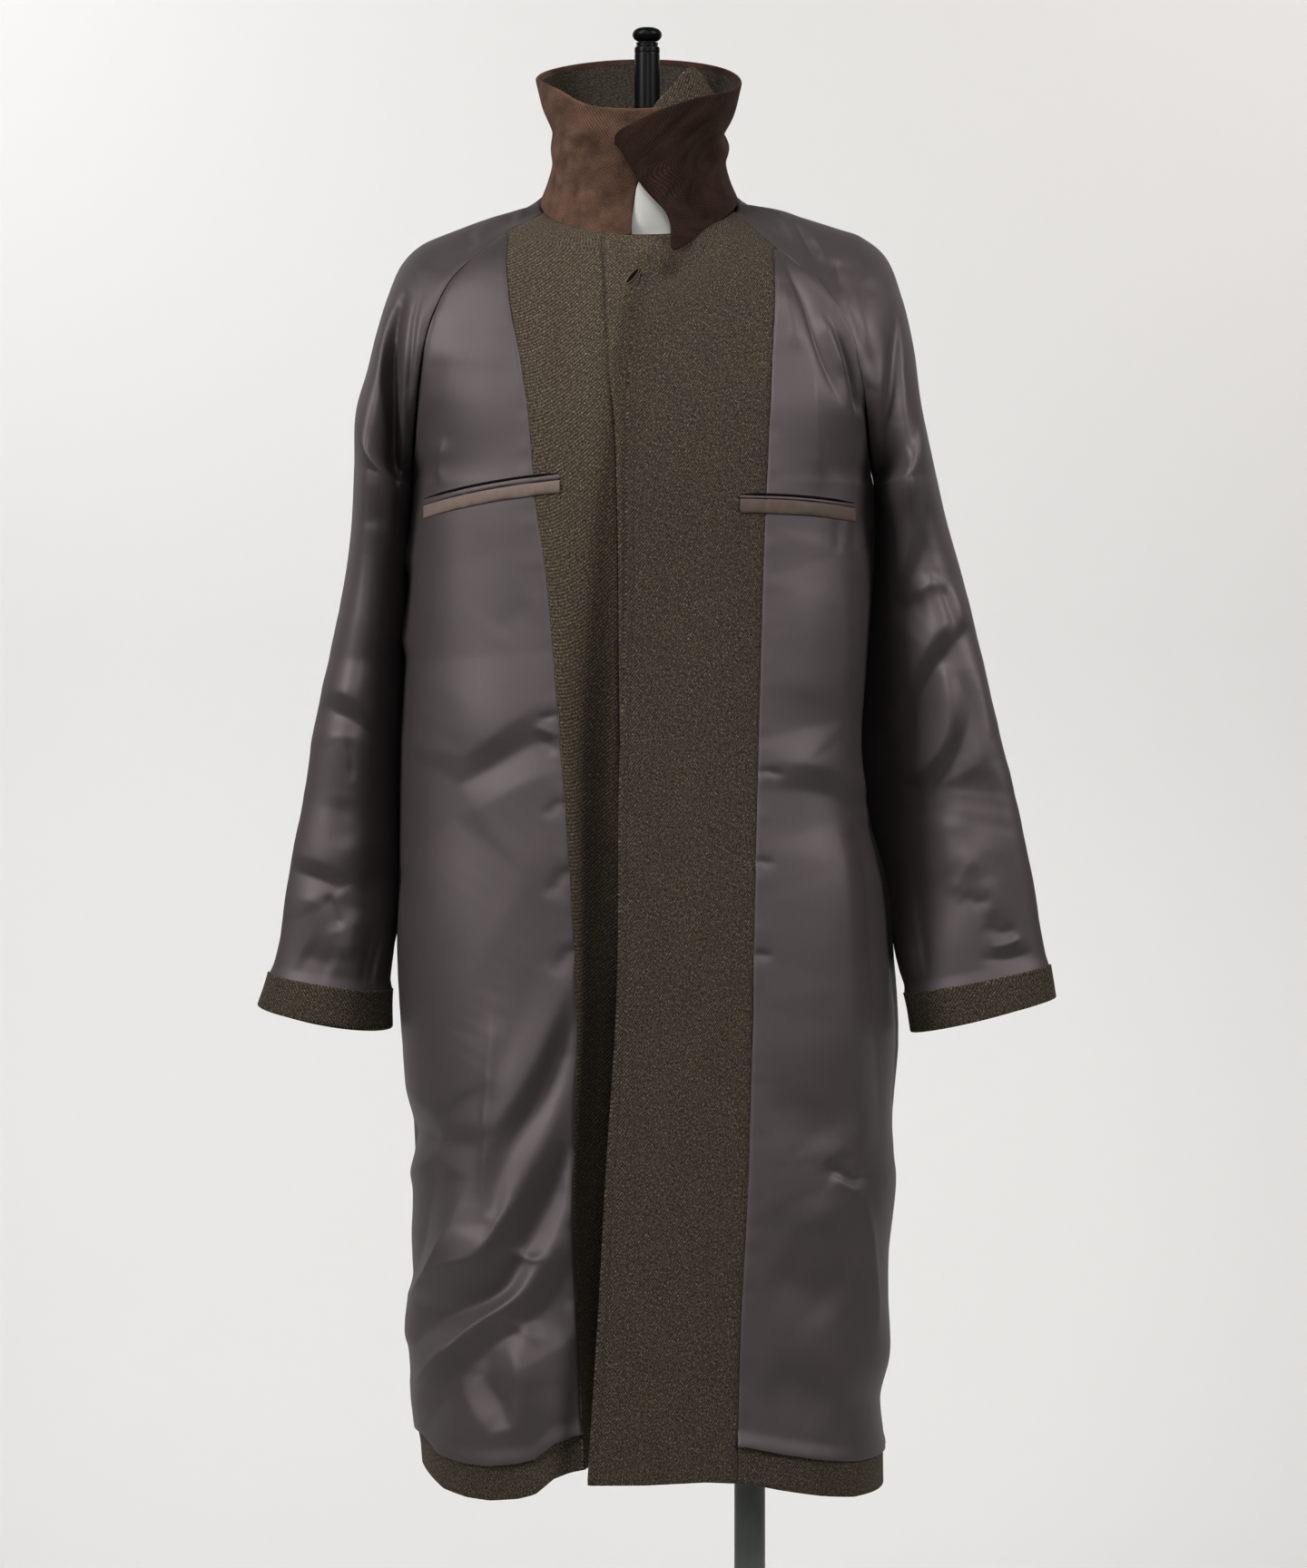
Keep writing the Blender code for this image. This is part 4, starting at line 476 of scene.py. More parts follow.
# The main folds of the front, as lines that are high or low: points of the photo's picture and
# millimetres out of the cloth. Between the lines the cloth runs straight, in flat facets.
FRONT_FOLDS = [
    # Left upper sleeve: the deep fold in front of the raglan seam
    ((438, 302, 2), (419, 345, 8), (410, 395, 12), (406, 440, 12), (403, 500, 10), (399, 545, 7),
     (397, 600, 4), (395, 680, 3)),
    ((438, 325, 2), (425, 356, 4), (419, 395, 6), (417, 440, 5), (417, 490, 3), (420, 530, -2),
     (426, 566, -3)),
    ((447, 326, -6), (439, 356, -28), (435, 392, -44), (434, 440, -47), (434, 490, -44),
     (437, 530, -30), (442, 566, -12)),
    ((453, 324, 1), (447, 354, 3), (443, 392, 4), (442, 440, 4), (443, 490, 4), (446, 530, 3),
     (450, 566, 1)),
    # Left elbow and lower sleeve
    ((344, 756, 1), (358, 760, 4), (372, 763, 7), (386, 769, 7), (397, 779, 6), (407, 796, 3)),
    ((340, 776, -2), (354, 778, -5), (368, 784, -7), (381, 790, -7), (393, 797, -5), (402, 804, -2)),
    ((338, 806, 1), (354, 808, 3), (370, 810, 4), (386, 812, 3)),
    ((308, 936, 1), (324, 941, 4), (342, 948, 6), (360, 955, 6), (376, 962, 4), (390, 974, 2)),
    ((304, 958, -2), (322, 959, -5), (340, 964, -6), (358, 970, -6), (374, 979, -3)),
    ((306, 986, 1), (326, 988, 3), (344, 992, 4), (358, 1000, 2)),
    # Left waist: the pull towards the facing, and the broad band below it
    ((612, 768, 1), (590, 780, 3), (566, 796, 4), (545, 812, 4), (516, 832, 2)),
    ((612, 812, -1), (590, 818, -3), (566, 830, -4), (540, 846, -4), (506, 864, -2)),
    ((613, 850, 1), (590, 858, 2), (560, 872, 2), (528, 892, 1)),
    ((446, 952, -1), (474, 922, -2), (500, 902, -2)),
    ((613, 905, 1), (590, 950, 3), (562, 1005, 4), (530, 1062, 4), (497, 1118, 3), (474, 1160, 2)),
    ((612, 1010, 1), (600, 1050, 2), (584, 1098, 3), (566, 1150, 5), (548, 1190, 7)),
    # Left skirt
    ((626, 1088, 5), (610, 1130, 9), (594, 1172, 12), (574, 1210, 13), (557, 1237, 13), (546, 1262, 12),
     (541, 1290, 11), (540, 1320, 11), (541, 1350, 12)),
    ((630, 1122, -3), (617, 1152, -6), (605, 1184, -7), (592, 1214, -6), (577, 1242, -2),
     (562, 1272, 4), (553, 1304, 7), (549, 1330, 10)),
    ((632, 1165, 1), (624, 1198, 5), (612, 1232, 8), (598, 1265, 11), (586, 1290, 13), (575, 1312, 15),
     (566, 1330, 15), (556, 1348, 16), (545, 1366, 17), (533, 1384, 19), (515, 1388, 20),
     (498, 1393, 19), (484, 1402, 17), (472, 1417, 13), (460, 1436, 9), (446, 1460, 5)),
    ((630, 1262, -3), (618, 1292, -7), (604, 1322, -9), (590, 1350, -9), (577, 1378, -8),
     (567, 1402, -7), (556, 1421, -6), (535, 1434, -6), (507, 1443, -7), (482, 1456, -6),
     (462, 1474, -3), (450, 1492, 0)),
    ((626, 1296, 3), (629, 1322, 7), (621, 1352, 9), (606, 1382, 10), (592, 1402, 10), (576, 1424, 10),
     (558, 1439, 10), (538, 1453, 10), (515, 1472, 11), (496, 1492, 11), (480, 1514, 10),
     (468, 1538, 8), (460, 1562, 5)),
    ((634, 1385, 0), (622, 1412, -1), (604, 1440, -2), (580, 1460, -2), (552, 1476, -4),
     (530, 1492, -7), (510, 1508, -8), (494, 1527, -8), (481, 1546, -6), (472, 1566, -3)),
    ((530, 1262, 6), (521, 1300, 10), (511, 1338, 15), (500, 1366, 18), (490, 1386, 18)),
    ((480, 1306, 1), (474, 1336, 0), (470, 1370, 0), (464, 1398, 3)),
    ((446, 1196, 3), (466, 1214, 4), (484, 1236, 2)),
    ((444, 1240, -4), (464, 1248, -6), (480, 1257, -3)),
    ((446, 1304, 2), (462, 1290, 5), (478, 1274, 4), (486, 1258, 0)),
    ((511, 1536, 2), (521, 1549, 5), (533, 1564, 7), (545, 1580, 7)),
    ((527, 1511, -4), (539, 1527, -3), (550, 1542, -1), (558, 1556, 2)),
    ((566, 1490, 6), (575, 1508, 12), (576, 1534, 12), (571, 1562, 11), (565, 1588, 6)),
    ((464, 1590, 1), (486, 1612, 2), (531, 1622, 3), (575, 1620, 2), (600, 1608, 1), (624, 1600, 0)),
    # The facings' middle stands a little forward
    ((704, 330, 7), (694, 420, 9), (690, 560, 9), (690, 720, 8), (688, 900, 6), (684, 1050, 3)),
    # Right upper sleeve
    ((943, 318, 3), (951, 352, 7), (955, 388, 7), (958, 424, 4)),
    ((968, 300, 0), (976, 335, 0), (976, 380, 1), (973, 420, 3), (968, 455, 4), (963, 490, 2)),
    ((985, 318, -2), (986, 360, -8), (983, 400, -11), (980, 432, -12), (976, 462, -11), (971, 490, -7),
     (966, 516, -2)),
    ((993, 335, 3), (996, 400, 5), (997, 460, 6), (1001, 510, 8), (1007, 556, 9), (1004, 596, 9),
     (994, 624, 8), (981, 650, 4), (972, 676, 2)),
    ((1004, 410, -1), (1010, 470, -3), (1016, 520, -5), (1020, 560, -6), (1016, 600, -7),
     (1006, 632, -5), (992, 664, -3)),
    # Right elbow and lower sleeve
    ((1046, 682, 5), (1032, 700, 8), (1018, 722, 9), (1004, 746, 8), (990, 772, 6), (979, 798, 3)),
    ((1076, 686, -2), (1057, 703, -7), (1040, 721, -8), (1024, 747, -8), (1010, 774, -7),
     (998, 800, -5), (987, 826, -2)),
    ((1040, 744, 1), (1047, 768, 6), (1048, 794, 8), (1041, 818, 9), (1026, 840, 9), (1008, 852, 7),
     (992, 860, 3)),
    ((1056, 738, -4), (1063, 766, -6), (1064, 794, -7), (1056, 824, -8), (1043, 851, -8),
     (1027, 880, -5), (1012, 906, -2)),
    ((1082, 716, 2), (1084, 756, 5), (1088, 800, 4), (1082, 840, 1)),
    # Right waist and skirt
    ((920, 590, 2), (924, 660, 7), (926, 740, 9), (928, 812, 7)),
    ((848, 842, 3), (878, 842, 8), (908, 848, 9), (934, 860, 6)),
    ((856, 870, 1), (890, 872, 2), (918, 880, 1), (942, 896, -2)),
    ((918, 906, 4), (928, 960, 8), (932, 1030, 9), (935, 1090, 8), (939, 1140, 7), (944, 1200, 6),
     (947, 1250, 5), (944, 1280, 3)),
    ((952, 910, -5), (962, 960, -10), (968, 1030, -11), (972, 1110, -9), (972, 1200, -4),
     (970, 1262, -1)),
]
# Shares of the relief and the size of the blur that softens each, in points
FOLD_SOFTNESS = ((0.58, 2.0), (0.28, 5.5), (0.14, 13.0))

# Creases on the back, in millimetres across and up, with x still to the front viewer's right
BACK_CREASES = [
    (16.1, 16.1, 7.0, 23.4, ((-60, 1320), (-68, 1100), (-86, 800), (-100, 420))),
    (13.6, 13.6, -6.0, 19.8, ((-20, 1240), (-24, 1000), (-32, 700), (-36, 420))),
    (14.9, 14.9, 6.5, 21.6, ((40, 1300), (44, 1050), (50, 760), (58, 420))),
    (12.4, 12.4, -6.0, 18, ((92, 1200), (104, 960), (118, 700), (128, 430))),
    (9.9, 9.9, 5.0, 14.4, ((150, 1180), (160, 960), (168, 720), (176, 470))),
    (9.9, 9.9, -5.0, 14.4, ((-140, 1180), (-148, 980), (-152, 760), (-150, 500))),
    (6.2, 4.3, -4.0, 9, ((-176, 1280), (-140, 1310), (-108, 1352))),
    (6.2, 4.3, -4.0, 9, ((170, 1280), (136, 1308), (102, 1350))),
    (7.4, 7.4, 3.5, 10.8, ((-184, 1250), (-140, 1276), (-90, 1296))),
    (7.4, 7.4, 3.5, 10.8, ((178, 1250), (136, 1276), (84, 1298))),
    (5.6, 5.6, -3.5, 8.1, ((-60, 1480), (0, 1462), (52, 1478))),
    (7.4, 7.4, -5.0, 10.8, ((-120, 560), (-70, 520), (-20, 505))),
    (7.4, 7.4, 5.0, 10.8, ((-130, 520), (-76, 486), (-20, 470))),
    (6.2, 6.2, -4.5, 9, ((60, 610), (100, 580), (150, 566))),
    (7.4, 7.4, -6.0, 10.8, ((-246, 1200), (-258, 1110), (-262, 1020))),
    (6.2, 6.2, 5.0, 9, ((-226, 1130), (-246, 1070), (-286, 1030))),
    (6.2, 6.2, -5.0, 9, ((-296, 1010), (-268, 980), (-240, 962))),
    (6.2, 6.2, 4.0, 9, ((-312, 930), (-284, 905), (-250, 890))),
    (7.4, 7.4, -6.0, 10.8, ((238, 1200), (252, 1110), (258, 1020))),
    (6.2, 6.2, 5.0, 9, ((226, 1120), (250, 1060), (296, 1020))),
    (6.2, 6.2, -5.0, 9, ((318, 1000), (286, 968), (250, 950))),
    (6.2, 6.2, 4.0, 9, ((330, 920), (300, 896), (262, 880))),
]
# How many widths a crease reaches, and how it fades at its ends
CREASE_REACH = 5.5
CREASE_FADE = (0.34, 0.10)
MILLIMETRE = 0.001
# The depth over which front and back creases meet at the sides, and the calm round the underarms
CREASE_DEPTH = 0.016
STILL_REACH = 0.010
# Unevenness of hung cloth: its height, and the share, width, length and seed of each wave
SATIN_LOOSE = 0.0009
WOOL_LOOSE = 0.0004
ROUGH = ((1.0, 0.045, 0.13, 5), (0.5, 0.021, 0.05, 8))

# Soft buckles of the collar: creases in points of the picture, and bulges placed by degrees and
# share of the height, with their spread, tallness and depth
COLLAR_CREASES = [
    (6.2, 6.2, -3.5, 9, ((634, 168), (642, 160), (652, 152))),
    (5, 5, 3.0, 7.2, ((640, 140), (632, 152), (627, 174))),
    (5.6, 5.6, 2.6, 8.1, ((626, 182), (637, 190), (652, 205))),
    (7.4, 7.4, -2.0, 10.8, ((612, 196), (626, 204), (640, 216))),
    (7.4, 7.4, -1.8, 10.8, ((655, 130), (690, 134), (722, 128))),
    (5.6, 5.6, 2.5, 8.1, ((786, 146), (792, 160), (793, 184))),
    (6.2, 6.2, -2.5, 9, ((772, 140), (776, 165), (778, 190))),
    (8.7, 8.7, 2.2, 12.6, ((742, 150), (748, 180), (756, 210))),
    (7.4, 7.4, -2.0, 10.8, ((722, 160), (726, 190), (738, 220))),
    (7.4, 7.4, 2.0, 10.8, ((758, 120), (775, 130), (796, 128))),
]
COLLAR_BUCKLES = [
    (92, 0.62, 26, 0.1, -0.0025), (90, 0.44, 30, 0.09, 0.0022), (268, 0.6, 26, 0.07, -0.005),
    (268, 0.45, 26, 0.08, 0.0035), (150, 0.55, 24, 0.14, -0.003), (205, 0.5, 26, 0.16, 0.0026),
    (232, 0.66, 18, 0.1, -0.0022),
]

# Fine grids: steps for each row of the tables, and columns of each panel
BODY_STEPS = 7
SLEEVE_STEPS = 13
CREASED_STEPS = 2
FINE = {"facing_left": 30, "fly_left": 14, "facing_right": 40, "lining": 70, "back": 84, "sleeve": 60}

# How the fronts lap: how far cloth falls back or stands forward, and over what reach. A start is the
# height above which it doesn't, and the height over which it comes in.
LINING_FALL = 0.012
LINING_FALL_REACH = 0.062
LINING_FALL_START = (1.00, 0.30)
FACING_FALL = 0.034
FACING_FALL_TOP = 0.08
FACING_FALL_START = (1.36, 0.36)
FACING_FALL_BEND = 1.7
EDGE_FORWARD = 0.007
EDGE_REACH = 0.050
EDGE_START = (1.38, 0.30)
TOP_EDGE_FORWARD = 0.0034
TOP_EDGE_REACH = 0.012
EDGE_OVERLAP = 0.006
NARROWEST_FACING = 0.012

# How a panel's edges sink into their seams: depth, width and pucker
SEAM_SINK = {
    "facing_left": {"left": (0.0010, 0.0030, 0.0), "right": (0.0009, 0.0022, 0.0)},
    "fly_left": {"left": (0.0009, 0.0022, 0.0)},
    "facing_right": {"right": (0.0010, 0.0030, 0.0)},
    "lining_front": {
        "left": (0.0006, 0.0022, 0.0006), "right": (0.0016, 0.0040, 0.0005),
        "top": (0.0008, 0.0030, 0.0004)},
    "lining_back": {
        "left": (0.0014, 0.0040, 0.0005), "right": (0.0014, 0.0040, 0.0005),
        "top": (0.0008, 0.0030, 0.0004)},
    "sleeve": {
        "left": (0.0008, 0.0030, 0.0005), "top": (0.0008, 0.0030, 0.0004),
        "right": (0.0003, 0.0020, 0.0004)},
}

# Puckers beside a seam: length and width, how far they reach, and the calm at the seam itself
PUCKER_SIZE = (0.011, 0.03)
PUCKER_REACH = 0.010
PUCKER_CALM = 0.002

# Sewing
SHORTEST_CUT = 0.0102
LEAST_AREA = 0.301
HEM_LAP = 0.14
CUFF_LAP = 0.16
LINING_FLARE = 0.0022
LINING_FLARE_REACH = 0.016
LINING_FLARE_WAVES = (0.5, 0.028, 0.05)
LINING_EDGE_WALL = 0.0009
RIM_TURNS = 5
STITCH_LENGTH = 0.0024
STITCH_PITCH = 0.0034
STITCH_RADIUS = 0.00032
STITCH_LIFT = 0.0001
EDGE_STITCH_INSET = 0.0052
EDGE_GROOVE = (0.0012, 0.0016)
# Edge seam of the right front, a near-black cord that is the seam and also paints the shadow along the
# edge: stitch length, pitch and radius, then its inset and shift
EDGE_SEAM_AND_SHADOW = (0.0080, 0.0082, 0.0007)
EDGE_SEAM_AND_SHADOW_INSET = 0.0004
EDGE_SEAM_AND_SHADOW_SHIFT = (-0.0009, 0.0008, 0.0)
FLY_STITCH_INSET = 0.0010
COLLAR_THICKNESS = 0.0035
COLLAR_LIP = 0.004
BUTTONHOLE = ((690, 313), (703.5, 295.5))
BUTTONHOLE_DEPTH = -0.105
BUTTONHOLE_GAP = 0.0019
BUTTONHOLE_BEAD = 0.0006
BUTTONHOLE_LIFT = 0.0003
THREAD_LIFT = 0.0002
THREAD_FLAT = 0.6
SLIT_LIFT = 0.0001
CORD_SIDES = 6

# Backdrop: front end of the floor, radius of the sweep, top and half width
FLOOR_FRONT = -0.75
SWEEP_RADIUS = 1.2
BACKDROP_TOP = 5.0
BACKDROP_HALF_WIDTH = 6.0
FLOOR_DROP = 0.0002


def smooth(value):
    """A soft step from 0 to 1."""
    value = np.clip(value, 0.0, 1.0)
    return value * value * (3.0 - 2.0 * value)


def unit(vectors):
    """Vectors of length 1."""
    return vectors / np.linalg.norm(vectors, axis=-1, keepdims=True)


def moved(points, axis, step):
    """A copy of some points, moved along one axis."""
    points = points.copy()
    points[..., axis] += step
    return points


def walked(line):
    """Distance walked along a line of points."""
    return np.concatenate([[0.0], np.cumsum(np.linalg.norm(np.diff(line, axis=0), axis=-1))])


def from_segment(u, v, first, last):
    """How far along a segment places lie, and their distance from it."""
    run = np.subtract(last, first)
    along = np.clip(((u - first[0]) * run[0] + (v - first[1]) * run[1]) / (run @ run), 0.0, 1.0)
    return along, np.hypot(u - first[0] - along * run[0], v - first[1] - along * run[1])


def spline(knots, values, at):
    """Values between a table's rows, on a smooth curve through all of them."""
    knots = np.asarray(knots, float)
    values = np.asarray(values, float)
    slopes = np.gradient(values, knots, axis=0)
    at = np.clip(np.asarray(at, float), knots[0], knots[-1])
    low = np.clip(np.searchsorted(knots, at, side="right") - 1, 0, len(knots) - 2)
    span = knots[low + 1] - knots[low]
    t = (at - knots[low]) / span
    if values.ndim == 2:
        t = t[..., None]
        span = span[..., None]
    return (
        values[low] * (1 + 2 * t) * (1 - t) ** 2
        + values[low + 1] * t * t * (3 - 2 * t)
        + slopes[low] * span * t * (1 - t) ** 2
        - slopes[low + 1] * span * t * t * (1 - t)
    )


def bezier(p0, p1, p2, p3, t):
    """Points of a cubic curve, for arrays of control points."""
    t = np.asarray(t)[..., None]
    return p0 * (1 - t) ** 3 + 3 * p1 * t * (1 - t) ** 2 + 3 * p2 * t * t * (1 - t) + p3 * t ** 3


def row_of_height(z):
    """The body row at a height below the underarm."""
    return UNDERARM_ROW + (UNDERARM_HEIGHT - np.asarray(z)) / ROW_PITCH


def neck_point(degrees):
    """A point of the neckline, by its angle from the front."""
    angle = np.radians(np.asarray(degrees, float))
    reach = np.where(np.cos(angle) > 0, NECK_FRONT, NECK_BACK)
    return np.stack([
        NECK_X + NECK_HALF_WIDTH * np.sin(angle),
        -reach * np.cos(angle),
        NECK_HEIGHT - NECK_TIP * np.cos(angle),
    ], axis=-1)


YOKE_ROWS = np.arange(UNDERARM_ROW + 1)
BODY_ROWS = np.concatenate([YOKE_ROWS, row_of_height(BODY["z"])])
SEAMS = {
    (face, side): np.vstack([neck_point(side * NECK_SEAM[face]), rows])
    for (face, side), rows in SEAM_ROWS.items()
}


def yoke_value(name, row):
    """A yoke column between its rows, held below the underarm."""
    return spline(YOKE_ROWS, YOKE[name], row)


def body_value(name, row):
    """A column that runs on from the yoke into the body below."""
    below = BODY["z" if name.endswith("_z") else name]
    return spline(BODY_ROWS, np.concatenate([YOKE[name], below]), row)


def raglan_or(low, face, side, row):
    """Points of a raglan seam, and below the underarm the given ones."""
    seam = spline(YOKE_ROWS, SEAMS[face, side], np.minimum(row, UNDERARM_ROW))
    return np.where((row > UNDERARM_ROW)[..., None], low, seam)


def body_side(face, side, row):
    """Where a body row ends: on the raglan seam, or on the side seam below the underarm."""
    row = np.asarray(row, float)
    edge = np.append(SEAMS[face, side][-1, 0], BODY["left" if side < 0 else "right"])
    below = np.maximum(row, UNDERARM_ROW)
    height = UNDERARM_HEIGHT - (below - UNDERARM_ROW) * ROW_PITCH
    x = spline(BODY_ROWS[UNDERARM_ROW:], edge, below)
    return raglan_or(np.stack([x, np.full_like(x, BODY_SIDE_Y), height], axis=-1), face, side, row)


def body_row(face, side, row):
    """The four control points of half a body row, from the centre to its side."""
    row = np.asarray(row, float)
    ahead = AHEAD[face]
    depth = body_value(face + "_y", row)
    centre = np.stack([np.full_like(depth, NECK_X), depth, body_value(face + "_z", row)], axis=-1)
    end = body_side(face, side, row)
    turn = np.radians(yoke_value("turn", row))
    lift = -ahead * yoke_value("rise", row)
    heading = np.stack([side * np.cos(turn), -ahead * np.sin(turn), lift], axis=-1)
    pull = yoke_value("pull", row) * np.abs(end[..., 0] - NECK_X)
    last = end - heading * yoke_value("reach", row)[..., None]
    return centre, moved(centre, 0, side * pull), last, end


def share_at_x(curve, x, side):
    """How far along half a row an x is met."""
    low = np.zeros_like(x)
    high = np.ones_like(x)
    for _ in range(40):
        middle = (low + high) / 2
        short = (bezier(*curve, middle)[..., 0] - x) * side < 0
        low = np.where(short, middle, low)
        high = np.where(short, high, middle)
    return (low + high) / 2


def front_at_x(row, x):
    """Points of the front's surface at given rows and x."""
    row, x = np.broadcast_arrays(np.asarray(row, float), np.asarray(x, float))
    points = np.zeros(row.shape + (3,))
    for side, _ in SIDES:
        pick = (x - NECK_X) * side >= 0
        if pick.any():
            curve = body_row("front", side, row[pick])
            points[pick] = bezier(*curve, share_at_x(curve, x[pick], side))
    return points


def line_at_height(table, heights):
    """The x of a line down the front, at given heights."""
    knots, values = np.array(table)[::-1].T
    return spline(knots, values, heights)


def line_at_row(table, row):
    """The x of a line down the front, at given rows."""
    return line_at_height(table, body_value("front_z", row))


def facing_seam(side, row):
    """The x of the seam between facing and lining. Above the lining it is the raglan seam."""
    row = np.asarray(row, float)
    raglan = body_side("front", side, row)[..., 0]
    start = body_side("front", side, float(LINING_TOP_ROW))[..., 0] - side * FACING_SEAM_INSET
    blend = smooth(row - LINING_TOP_ROW)
    line = start * (1 - blend) + line_at_row(FACING_SEAM[side], row) * blend
    return np.where(row < LINING_TOP_ROW, raglan, line)


def droop_rows(x):
    """How many rows lower the right front's neckline starts near its edge."""
    return RIGHT_DROOP_ROWS * smooth((DROOP_END - x) / DROOP_REACH)


def wave(points, side):
    """Raise and lower the coat's lowest part along its hem."""
    xs, lifts = np.array(HEM_WAVE[side]).T
    share = smooth((HEM_WAVE_TOP - points[..., 2]) / HEM_WAVE_REACH)
    return moved(points, 2, np.interp(points[..., 0], xs, lifts) * share)


def tuck_under(points, row):
    """Move the left front back where the right front lies over it."""
    edge = line_at_row(RIGHT_FRONT_EDGE, row)
    share = smooth((points[..., 0] - edge + UNDERLAP_START) / UNDERLAP_REACH)
    return moved(points, 1, UNDERLAP * share)


def folded(points):
    """Push the back's largest folds out of the cloth and into it."""
    push = np.zeros(points.shape[:-1])
    for x0, z0, x1, z1, width, height in BACK_FOLDS:
        along, away = from_segment(points[..., 0], points[..., 2], (x0, z0), (x1, z1))
        fade = smooth(np.minimum(along, 1.0 - along) / FOLD_FADE[0] + FOLD_FADE[1])
        push += height * fade * np.exp(-((away / width) ** 2))
    return moved(points, 1, push * smooth((points[..., 1] - BODY_SIDE_Y) / FOLD_MASK_DEPTH))


def sleeve_section(side, face, row):
    """The four control points of half a sleeve section, from its inner seam to the overarm."""
    row = np.asarray(row, float)
    ahead = AHEAD[face]
    tube = SLEEVE[side]
    rows = np.arange(CUFF_ROW + 1.0)
    inner_swing = SLEEVE_FORWARD * np.linspace(0.0, 1.0, SLEEVE_ROWS)
    outer_low = np.stack([tube["over_x"], tube["middle"] - tube["forward"], tube["over_z"]], axis=-1)
    inner_low = np.stack([
        tube["inner_x"] - side * tube["tuck_x"], tube["middle"] - inner_swing + tube["tuck_y"],
        tube["inner_z"]], axis=-1)
    over = spline(rows, np.vstack([SEAMS["over", side], outer_low]), row)
    below = spline(rows[UNDERARM_ROW:], np.vstack([SEAMS[face, side][-1], inner_low]), row)
    inner = raglan_or(below, face, side, row)
    leave = np.radians(yoke_value("leave", row))
    # A round section's control points lie 4/3 of its half depth away from its folds
    depth = tube["depth"] * 4.0 / 3.0
    lead_low = depth - BACK_TUCK * tube["tuck_y"]
    over_low = depth
    if face == "front":
        turn = np.concatenate([np.zeros(UNDERARM_ROW + 1), tube["turn"]])
        leave = leave + np.radians(spline(rows, turn, row))
        lead_low = depth * tube["inner_keep"] + tube["tuck_y"] + tube["forward"] - inner_swing
        over_low = depth * tube["outer_keep"]
    lead = spline(rows, np.concatenate([YOKE["lead"], lead_low]), row)
    swing = spline(rows, np.concatenate([YOKE["over"], over_low]), row)
    heading = np.stack([side * np.cos(leave), -ahead * np.sin(leave), np.zeros_like(leave)], axis=-1)
    return inner, inner + heading * lead[..., None], moved(over, 1, ahead * swing), over


def row_grid(rows, count):
    """The row of each point of a grid, and its share of the way across."""
    row = np.repeat(np.asarray(rows, float)[:, None], count + 1, axis=1)
    return row, np.broadcast_to(np.linspace(0.0, 1.0, count + 1), row.shape)


def sleeve_grid(side, face, rows):
    """Points of half a sleeve, row by row from its inner seam to the overarm."""
    row, share = row_grid(rows, FINE["sleeve"])
    points = bezier(*sleeve_section(side, face, row), share)
    low_share = smooth((row - CUFF_ROW + CUFF_SAG_ROWS) / CUFF_SAG_ROWS)
    return folded(moved(points, 2, -CUFF_SAG[side, face] * low_share * np.sin(math.pi * share)))


def lining_grid(side, rows):
    """Points of a front lining, from the facing seam to the raglan or side seam."""
    row, across = row_grid(rows, FINE["lining"])
    curve = body_row("front", side, row)
    start = share_at_x(curve, facing_seam(side, row), side)
    points = bezier(*curve, start + (1.0 - start) * across)
    if side < 0:
        points = tuck_under(points, row)
    return folded(wave(points, side))


def back_grid(rows):
    """Points of the back, from its left seam to its right one."""
    row, share = row_grid(rows, FINE["back"] // 2)
    left, right = (bezier(*body_row("back", side, row), share) for side, _ in SIDES)
    return folded(wave(np.concatenate([left[:, ::-1], right[:, 1:]], axis=1), "back"))


def strip_grid(name, rows, start, end):
    """Points of a front strip between two lines that run down the coat."""
    row, across = row_grid(rows, FINE[name])
    x = start(row) * (1.0 - across) + end(row) * across
    if name == "facing_right":
        droop = droop_rows(x) * smooth((DROOP_FADE_ROWS - row) / DROOP_FADE_ROWS)
        return folded(wave(front_at_x(row + droop, x), 1))
    return folded(wave(tuck_under(front_at_x(row, x), row), -1))


def collar_value(name, share):
    """A column of the collar's rings at a share of its height."""
    return spline(COLLAR["share"], COLLAR[name], share)


def collar_point(degrees, share, inset):
    """Points of the collar, by the angle walked from the left end and the share of its height."""
    angle = np.radians(-degrees)
    tuck = COLLAR_TUCK * smooth((COLLAR_TUCK_END - degrees) / COLLAR_EASE)
    lift = COLLAR_LIFT * smooth((degrees - COLLAR_LIFT_START) / COLLAR_EASE)
    away = inset - tuck + lift
    reach = np.where(np.cos(angle) > 0, collar_value("front", share), collar_value("back", share))
    x = NECK_X + (collar_value("half", share) + away) * np.sin(angle)
    y = -(reach + away) * np.cos(angle)
    z = collar_value("level", share) - collar_value("tip", share) * np.cos(angle)
    late = np.clip((degrees - COLLAR_DROOP_SPAN[0]) / COLLAR_DROOP_SPAN[1], 0.0, 1.0)
    follow = (1.0 - share) * smooth((degrees - COLLAR_FOLLOW_SPAN[0]) / COLLAR_FOLLOW_SPAN[1])
    base_x = NECK_X + NECK_HALF_WIDTH * np.sin(angle)
    base = front_at_x(droop_rows(base_x), np.clip(base_x, -COLLAR_BASE_REACH, COLLAR_BASE_REACH))
    drop = (base - neck_point(np.degrees(angle))) * follow[..., None]
    z = z + drop[..., 2] - COLLAR_TOP_DROOP * share * late ** 2
    return np.stack([x, y + drop[..., 1], z], axis=-1)


def grid_normals(points, closed=False):
    """Unit normals of a grid of points, which may close on itself across."""
    if closed:
        across = np.roll(points, -1, axis=1) - np.roll(points, 1, axis=1)
    else:
        across = np.gradient(points, axis=1)
    return unit(np.cross(np.gradient(points, axis=0), across))


